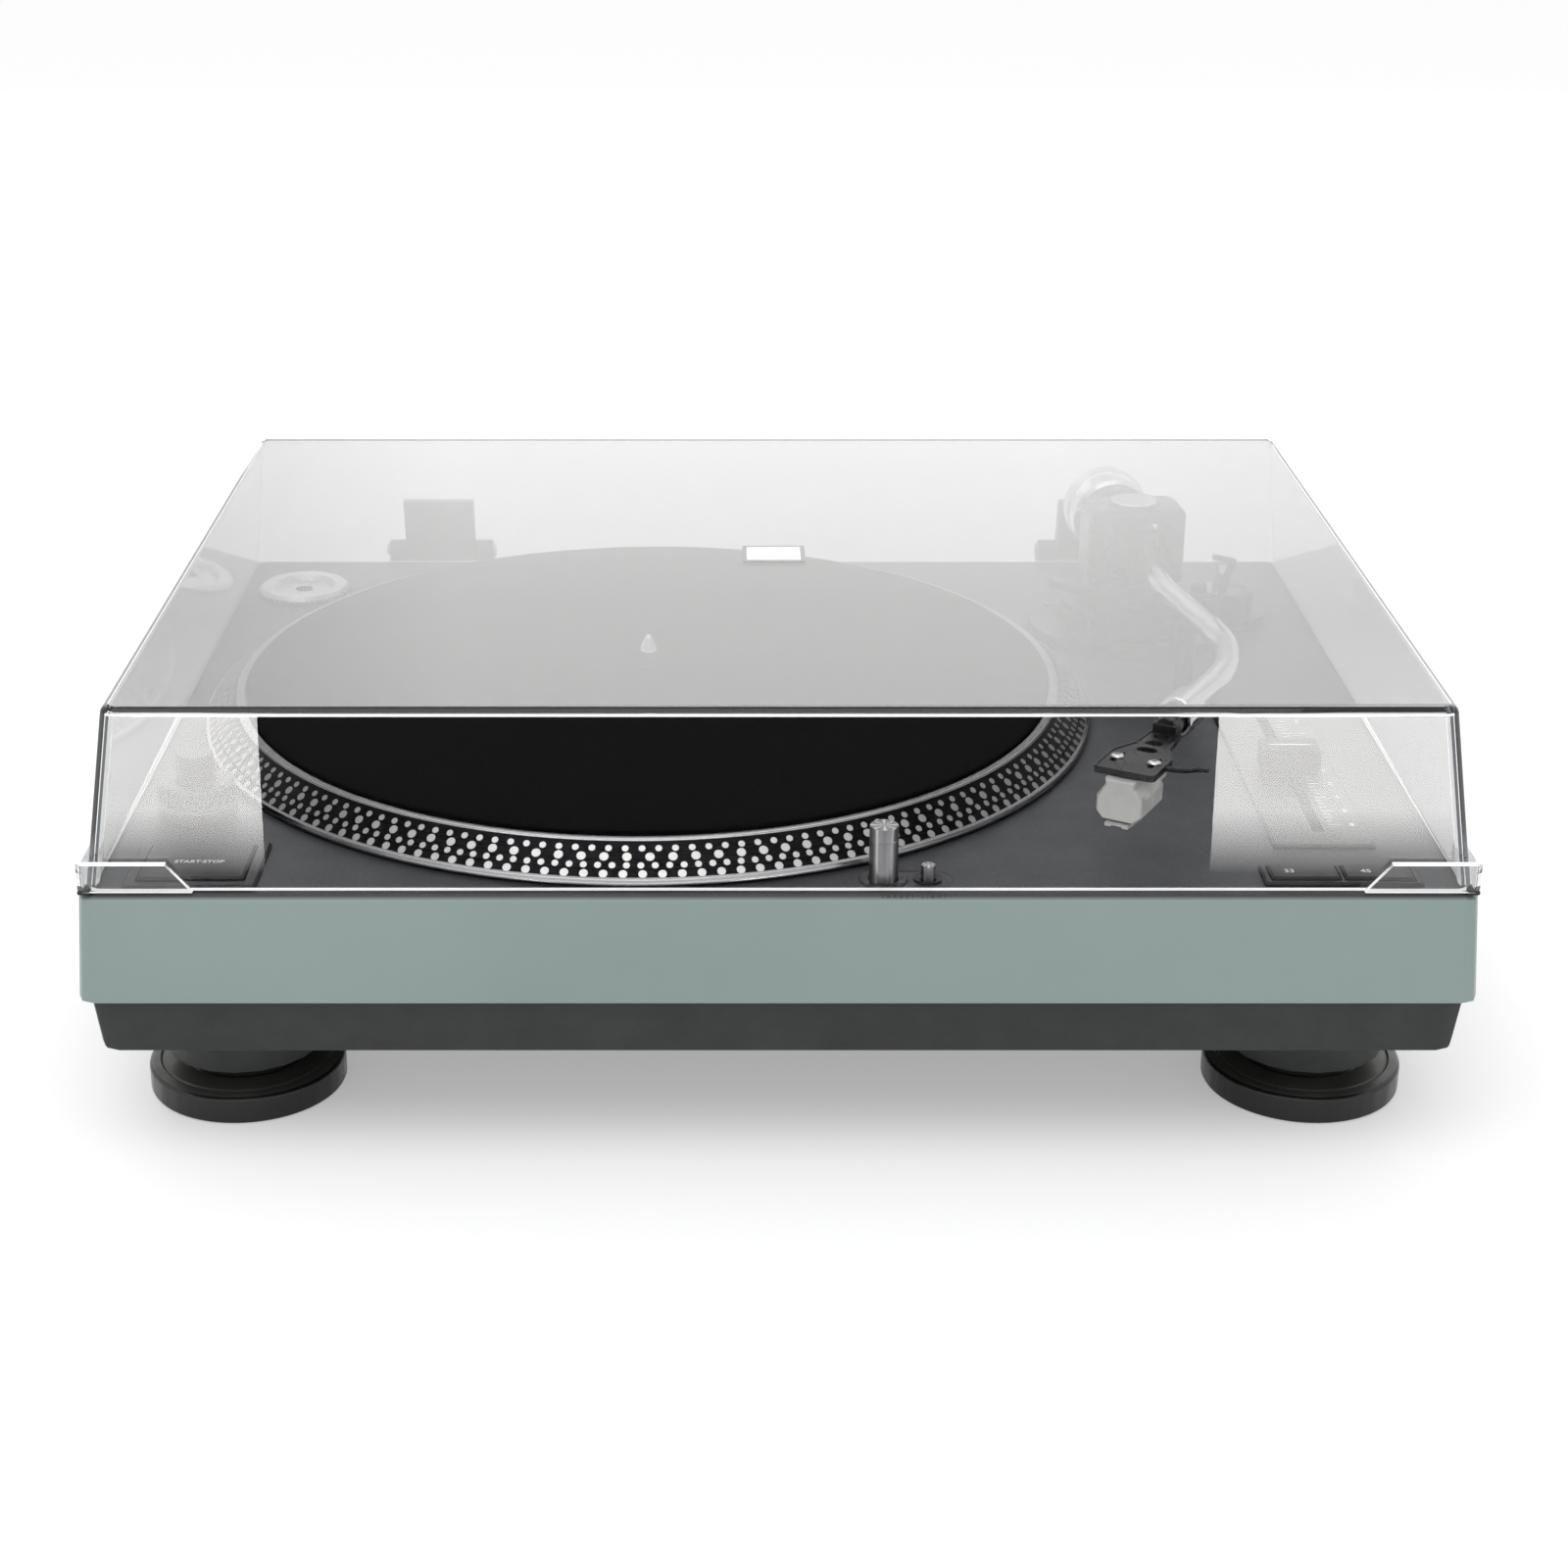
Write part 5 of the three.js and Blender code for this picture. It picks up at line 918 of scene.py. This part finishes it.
def cover_lug(name, side):
    """A thickened grip round a front corner, with a bevel along its top that gets the painted glow of
    the cover's rim.
    """
    foot = [(224.4, -151.6), (222.5, -151.6), (222.5, -173.7), (187.4, -173.7), (187.4, -175.6),
            (222.4, -175.6), (224.4, -173.6)]
    slant, bevel = 8.0, 0.5
    head = [(x if x > 200 else x + slant, y) for x, y in foot]
    top = [(x - bevel if x > 223 else x, y + (bevel if y < -175 else 0.0)) for x, y in head]
    rows = ((foot, COVER_LOW), (head, 106.4), (top, 107.0))
    points, faces = stacked([[(side * x, y, z) for x, y in row] for row, z in rows])
    picks = [1, 1] + [0] * len(foot) + [1] * len(foot)
    piece(name, points, faces, "cover", ["cover_lug", "cover_rim"], "clear_cover", picks=picks)


cover_shell()
cover_lug("cover_lug_right", 1)
cover_lug("cover_lug_left", -1)
plate_low, plate_high, face_low, face_high = 156.5, 156.95, 156.9, 157.0
grey_plate = prism(rounded(11.5, 9.5, 1.0, 4, COVER_PLATE), plate_low, plate_high)
piece("cover_plate", *grey_plate, "cover", "plate_grey", "ivory")
white_face = prism(rounded(9.9, 7.8, 0.6, 4, COVER_PLATE), face_low, face_high)
piece("cover_plate_face", *white_face, "cover", "plate_white", "ivory")


# Feet

def foot(name, x, y):
    profile = [(0.0, 0.6), (24.0, 0.6), (25.0, 0.0), (32.6, 0.0), (33.6, 0.5), (34.0, 1.3),
               (34.0, 8.6), (33.75, 9.5), (33.1, 10.2), (32.2, 10.6), (30.2, 10.7), (29.6, 10.3),
               (29.0, 10.8), (21.6, 11.3), (21.0, 11.9), (21.0, 16.2), (5.0, 16.2), (5.0, 42.6),
               (4.4, 43.2), (0.0, 43.2)]
    # The top ring's rows get the lighter colour, a painted highlight
    highlight_rows, first_thread_row = range(8, 13), 16
    points, faces, rows = lathe(profile, 96, at(x, y, 0.0))
    picks = [2 if row >= first_thread_row else 1 if row in highlight_rows else 0 for row in rows]
    piece("foot_turned_" + name, points, faces, "foot_" + name,
          ["foot_rubber", "foot_top", "steel"], "foot_rubber", ["foot_" + name], picks=picks)


for end, y in (("front", -120.0), ("rear", 113.0)):
    for side, x in (("left", -184.5), ("right", 184.5)):
        foot(f"{end}_{side}", x, y)


# Pop-up light and its catch

def barrel(name, place, profile, sides, cap_row, body, node):
    points, faces, rows = lathe(profile, sides, at(*place, DECK))
    picks = [1 if row >= cap_row else 0 for row in rows]
    piece(name + "_barrel", points, faces, body, [name + "_barrel", name + "_cap"], "brushed_metal",
          [node], picks=picks)


barrel("light", LIGHT, [(0.0, -5.0), (4.7, -5.0), (4.7, 14.6), (4.5, 14.75), (4.5, 15.15),
                        (4.7, 15.3), (4.7, 18.9), (4.55, 19.3), (4.2, 19.5), (3.5, 19.5),
                        (3.3, 19.35), (0.0, 19.35)], 64, 7, "light", "stylus_light")
barrel("catch", CATCH, [(0.0, -6.0), (2.3, -6.0), (2.3, 5.1), (2.15, 5.45), (1.8, 5.6), (1.1, 5.6),
                        (0.8, 5.35), (0.0, 5.3)], 48, 2, "light_catch", "stylus_light_catch")
to_spindle = math.atan2(PLATTER[1] - LIGHT[1], PLATTER[0] - LIGHT[0])
lens_place = at(*LIGHT, DECK + 14.2, to_spindle) @ Matrix.Rotation(math.pi / 2, 4, "Y")
lens = lathe([(0.0, 4.2), (1.3, 4.2), (1.3, 4.6), (0.9, 4.74), (0.0, 4.8)], 24, lens_place)
piece("light_lens", *lens[:2], "light", "pale_shell", "ivory")


# Lettering and scales

light_line = outline_strip(rounded(15.6, 6.8, 6.7, 10, LIGHT_FRAME), 0.45,
                           DECK + INK_LOW, DECK + INK_HIGH)
piece("light_outline", *light_line, "case", "print_dark", "black_plastic")
chamfer = at(43.3, -174.82, DECK - 0.58) @ Matrix.Rotation(math.radians(45.0), 4, "X")
words("light_words", "TARGET LIGHT", 1.75, (0.0, 0.0, INK_WORDS), "case", "print_dark", chamfer,
      wide=1.95, bold=0.05)
for name, text, size, place, body in (
        ("start_words", "START·STOP", 2.9, START_BUTTON, "start_stop"),
        ("speed_33_words", "33", 3.5, SPEED_33, "speed_33"),
        ("speed_45_words", "45", 3.5, SPEED_45, "speed_45")):
    words(name, text, size, (*place, box_top(body + "_button") + INK_WORDS), body)


def pitch_scale():
    level = box_top("pitch_plate")
    reach, line_pitch, lines_to_number = 16, 3.0, 4
    lines_out, numbers_out = 4.4, 12.4
    lines = []
    for step in range(-reach, reach + 1):
        long = 4.2 if step % lines_to_number == 0 else 2.4
        middle = (PITCH[0] + lines_out + long / 2, PITCH[1] + step * line_pitch)
        line = rounded(long / 2, 0.16, 0.15, 2, middle)
        lines.append(prism(line, level + INK_LOW, level + INK_HIGH))
        if step % lines_to_number == 0:
            index = step // lines_to_number
            place = (PITCH[0] + numbers_out, middle[1], level + INK_WORDS)
            words(f"pitch_number_{index + 4}", str(abs(index) * 2), 3.2, place, "case")
    piece("pitch_lines", *gather(*lines), "case", "print_white", "ivory")
    knob_top = box_top("pitch_knob")
    line = prism(rounded(7.5, 0.3, 0.25, 3, PITCH), knob_top - 0.05, knob_top + 0.04)
    piece("pitch_knob_line", *line, "pitch", "print_white", "ivory")


pitch_scale()


# Screws, each a domed head with a round socket, and the signal sockets' rings

def screw(radius, high, matrix):
    profile = [(radius, 0.0), (radius, 0.4 * high), (0.8 * radius, 0.85 * high),
               (0.48 * radius, high), (0.42 * radius, 0.3 * high), (0.0, 0.3 * high)]
    return lathe(profile, 20, matrix)[:2]


def screws(name, radius, high, places, body, look, turn=Matrix()):
    heads = gather(*(screw(radius, high, turn_at @ turn) for turn_at in places))
    piece(name, *heads, body, look, "steel")


screw_ring, base_high = 35.0, 4.3
base_screws = [at(ARM[0] + screw_ring * math.cos(turn), ARM[1] + screw_ring * math.sin(turn),
                  DECK + base_high) for turn in map(math.radians, (-75.0, 45.0, 150.0))]
screws("arm_base_screws", 2.2, 0.9, base_screws, "case", "satin_steel")
to_rear = Matrix.Rotation(-math.pi / 2, 4, "X")
panel_rear, sockets_rear = 167.5, 173.45
panel_screws = [at(SOCKETS_X + aside, panel_rear, SOCKETS_HIGH) for aside in (-20.5, 20.5)]
screws("socket_screws", 1.6, 0.7, panel_screws, "case", "steel", to_rear)
for name, aside, look in (("left", -8.0, "print_white"), ("right", 8.0, "wire_red")):
    ring = lathe([(1.75, 0.0), (3.4, 0.0), (3.3, 0.35), (1.85, 0.35)], 32,
                 at(SOCKETS_X + aside, sockets_rear, SOCKETS_HIGH) @ to_rear, closed=True)
    piece("socket_ring_" + name, *ring[:2], "case", look, "ivory")


# Power knob's grip

piece("power_knob_grip", *ribs(60, 12.2, 12.95, 0.9, 7.4, 12.6, at(*POWER_KNOB, DECK)), "power",
      "black_plastic")


# Tonearm: its tube, headshell, cartridge, pivot's cap and counterweight's marks

on_arm = at(*ARM, ARM_HIGH, ARM_TURN)
on_head = on_arm @ Matrix.Translation(STYLUS) @ Matrix.Rotation(-HEAD_TURN, 4, "Z")


def arm_tube():
    """An S through points that are shares of the arm's reach, then straight into the headshell."""
    points = [Vector((0.0, -9.3, 0.0))]
    points += [Vector((x * ARM_REACH, -y * ARM_REACH, 0.0)) for x, y in (
        (0.0, 0.08), (0.0, 0.16), (0.0, 0.259), (0.025, 0.425), (0.0293, 0.529), (-0.001, 0.635))]
    back = Vector((math.sin(HEAD_TURN), math.cos(HEAD_TURN), 0.0))
    points += [STYLUS + back * (52 + index * 8) for index in (3, 2, 1, 0)]
    shape = moved(tube(smooth_path(points, 10), 4.5, 28), on_arm)
    piece("arm_tube_curve", *shape, "arm", "bright_metal", "bright_metal", ["arm_tube"], angle=50.0)


def headshell():
    outline = [(-8.5, -2.0), (8.5, -2.0), (9.6, -1.7), (10.3, -0.9), (10.5, 0.0), (10.5, 15.0),
               (6.25, 24.0), (4.75, 39.0), (-4.75, 39.0), (-6.25, 24.0), (-10.5, 15.0),
               (-10.5, 0.0), (-10.3, -0.9), (-9.6, -1.7)]
    screw_places = [(-6.35, 9.5), (6.35, 9.5)]
    openings = [rounded(1.5, 4.5, 1.45, 5, place) for place in screw_places]
    openings += [rounded(half, 2.0, 1.95, 5, (0.0, 19.5 + 6.6 * index))
                 for index, half in enumerate((3.5, 3.0, 2.5))]
    shell_low, shell_high = -3.5, -1.5
    shell = plate(outline, openings, shell_low, shell_high)
    edge = outline_strip(outline, 0.7, shell_high - 0.05, shell_high + 0.3)
    rail = prism(rounded(4.75, 1.6, 1.2, 4, (0.0, 37.4)), shell_low, 2.0, 0.5)
    plug = lathe([(0.0, 0.0), (3.6, 0.0), (4.0, 0.5), (4.0, 9.0), (3.8, 9.3), (3.8, 10.2),
                  (4.0, 10.5), (4.0, 15.4), (3.7, 15.7), (0.0, 15.7)], 32,
                 at(0.0, 36.0, 0.0) @ to_rear)
    finger_path = [(8.5, 10.0, -2.5), (13.0, 10.0, -2.5), (18.0, 9.4, -1.6), (22.4, 8.3, -0.1),
                   (25.4, 7.5, 0.5)]
    finger = tube(smooth_path([Vector(point) for point in finger_path], 6), 1.0, 14, 0.3)
    made = gather(shell, edge, rail, plug[:2], finger)
    piece("headshell_cut", *moved(made, on_head), "head_collar", "satin_black", "black_plastic",
          ["headshell"], angle=30.0)
    heads = [on_head @ at(*place, shell_high + 0.05) for place in screw_places]
    screws("headshell_screws", 2.3, 1.0, heads, "head_collar", "bright_metal")


def cartridge():
    top, low, half = -3.8, -18.4, 8.0
    right = [(5.5, low), (7.4, low + 2.0), (half, low + 3.0), (half, top - 6.4), (5.7, top - 3.0),
             (5.25, top - 2.2), (5.25, top)]
    face = [(-x, z) for x, z in reversed(right)] + right
    body = along_y(face, [(-4.5, 0.9), (-4.1, 0.35), (-3.4, 0.0), (4.9, 0.0), (5.1, 0.35),
                          (5.5, 0.35), (5.7, 0.0), (14.6, 0.0), (15.2, 0.3), (15.5, 0.8)])
    flange = prism(rounded(9.5, 4.5, 1.4, 6, (0.0, 9.5)), top - 2.4, top, 0.3)
    piece("cartridge_body", *moved(gather(body, flange), on_head), "head_collar", "pale_shell",
          "ivory", ["cartridge"])
    pin_aside, pins_up = 2.6, 7.3
    pins = {"print_white": (-1, -1), "wire_red": (1, -1), "wire_blue": (-1, 1),
            "wire_green": (1, 1)}
    for number, (look, (side, up)) in enumerate(pins.items(), 1):
        place = at(side * pin_aside, 15.5, low + pins_up + up * pin_aside) @ to_rear
        pin = lathe([(0.6, -1.0), (0.6, 1.0), (0.95, 1.1), (0.95, 3.3), (0.6, 3.5), (0.0, 3.5)],
                    14, place)
        piece(f"cartridge_pin_{number}", *moved(pin, on_head), "head_collar", look, "brass")


def pivot_cap():
    profile = [(0.0, 0.42), (1.2, 0.4), (1.3, 0.15), (2.0, 0.15), (2.1, 0.4), (8.2, 0.4),
               (8.9, 0.2), (9.0, 0.0), (0.0, 0.0)]
    cap = lathe(profile, 64, at(*ARM, box_top("tonearm_yoke")))
    piece("pivot_cap", *cap[:2], "yoke", "bright_metal", "steel")


def weight_marks():
    ring = on_arm @ at(0.0, 33.0, 0.0) @ to_rear
    piece("weight_grip", *ribs(72, 16.0, 16.75, 0.8, 13.6, 21.6, ring), "weight", "steel")
    numbers, dial_y, dial_radius = 8, 30.6, 14.0
    for index in range(numbers):
        turn = Matrix.Rotation(2 * math.pi * index / numbers, 4, "Y")
        words(f"weight_number_{index}", f"{index / 2:g}", 2.6, (0.0, 0.0, dial_radius + INK_WORDS),
              "weight_dial", face=on_arm @ at(0.0, dial_y, 0.0) @ turn)


arm_tube()
headshell()
cartridge()
pivot_cap()
weight_marks()


# Stage and light

def stage_mesh(name, corners, look, **visibility):
    mesh = bpy.data.meshes.new(name)
    mesh.from_pydata(corners, [], [tuple(range(len(corners)))])
    mesh.materials.append(look.material)
    obj = given(added(name, mesh), **visibility)


def floor():
    look = Look("floor", Roughness=0.9, Specular_IOR_Level=0.1, Base_Color=full(0.86),
                Emission_Color=full(1.0))
    half, strength = 6.0, 0.34
    glow = look.math("MULTIPLY", look.seen(), strength)
    look.links.new(glow, look.shader.inputs["Emission Strength"])
    stage_mesh("floor", [(-half, -half, 0), (half, -half, 0), (half, half, 0), (-half, half, 0)],
               look)


def world():
    """White where it is seen, and a little less as light on the object."""
    scene.world = bpy.data.worlds.new("studio")
    tree = Nodes(scene.world)
    ground = tree.nodes["Background"].inputs
    ground["Color"].default_value = full(1.0)
    lighting, seen = 0.72, 1.0
    tree.links.new(tree.spread(tree.seen(), lighting, seen, 0.0, 1.0), ground["Strength"])


def lamp(name, place, target, size, power, size_y=None, **visibility):
    data = given(bpy.data.lights.new(name, "AREA"), shape="RECTANGLE", size=size,
                 size_y=size_y or size, energy=power)
    turn = (Vector(target) - Vector(place)).to_track_quat("-Z", "Y").to_euler()
    given(added(name, data), location=place, rotation_euler=turn, visible_camera=False,
          **visibility)


def card(name, look, corners, **visibility):
    """A card that only the cover's reflections see."""
    stage_mesh(name, corners, look, visible_camera=False, visible_diffuse=False,
               visible_shadow=False, **visibility)


def card_look(name, glow=(1.0, 1.0, 1.0)):
    return Look(name, Roughness=1.0, Specular_IOR_Level=0.0, Base_Color=full(0.0),
                Emission_Color=full(glow))


def dark_card():
    """A black card that counts only once mirrored, so it isn't seen straight through the cover."""
    look = card_look("dark_card")
    mirrored = look.math("GREATER_THAN", look.node("LightPath").outputs["Glossy Depth"], 0.5)
    look.mixed(mirrored, look.node("BsdfTransparent").outputs["BSDF"], look.shader.outputs["BSDF"])
    near, near_half, far, far_half, high = -0.52, 0.45, -1.45, 0.56, 0.002
    card("dark_card", look, [(-far_half, far, high), (far_half, far, high),
                             (near_half, near, high), (-near_half, near, high)])


def bright_card(name, inner, outer, strength):
    """A glowing card before the object, towards which it fades. Its edges are (near, far) in x."""
    look = card_look(name, (1.0, 0.99, 0.975))
    fade_far, fade_near = -0.75, -0.60
    glow = look.spread(look.axes()["Y"], strength, 0.0, fade_far, fade_near)
    look.links.new(glow, look.shader.inputs["Emission Strength"])
    near, far, high = -0.56, -1.35, 0.004
    card(name, look, [(inner[0], near, high), (inner[1], far, high), (outer[1], far, high),
                      (outer[0], near, high)], visible_transmission=False)


def back_card():
    """A softly glowing card behind the object, which the top of the cover mirrors."""
    look = card_look("back_card", (1.0, 1.0, 0.99))
    x = look.axes()["X"]
    left = look.spread(x, 1.75, 2.5, -0.56, -0.28)
    right = look.spread(x, 0.0, 0.3, 0.30, 0.56)
    look.links.new(look.math("SUBTRACT", left, right), look.shader.inputs["Emission Strength"])
    half, y, low, high = 1.6, 1.5, 0.30, 1.15
    card("back_card", look, [(-half, y, low), (half, y, low), (half, y, high), (-half, y, high)],
         visible_transmission=False)


floor()
world()
dark_card()
bright_card("bright_card_left", (-0.232, -0.375), (-0.315, -0.408), 15.5)
bright_card("bright_card_right", (0.208, 0.357), (0.328, 0.436), 15.5)
bright_card("side_card_left", (-0.315, -0.408), (-0.345, -0.520), 7.5)
bright_card("side_card_right", (0.328, 0.436), (0.360, 0.560), 8.0)
back_card()
lamp("key", (-0.3, -0.9, 1.7), (0.0, 0.0, 0.05), 1.5, 9.0)
lamp("back", (0.0, 1.7, 1.0), (0.0, 0.1, 0.1), 2.4, 8.0, 1.4, visible_glossy=False)

scene.view_settings.view_transform = "Standard"
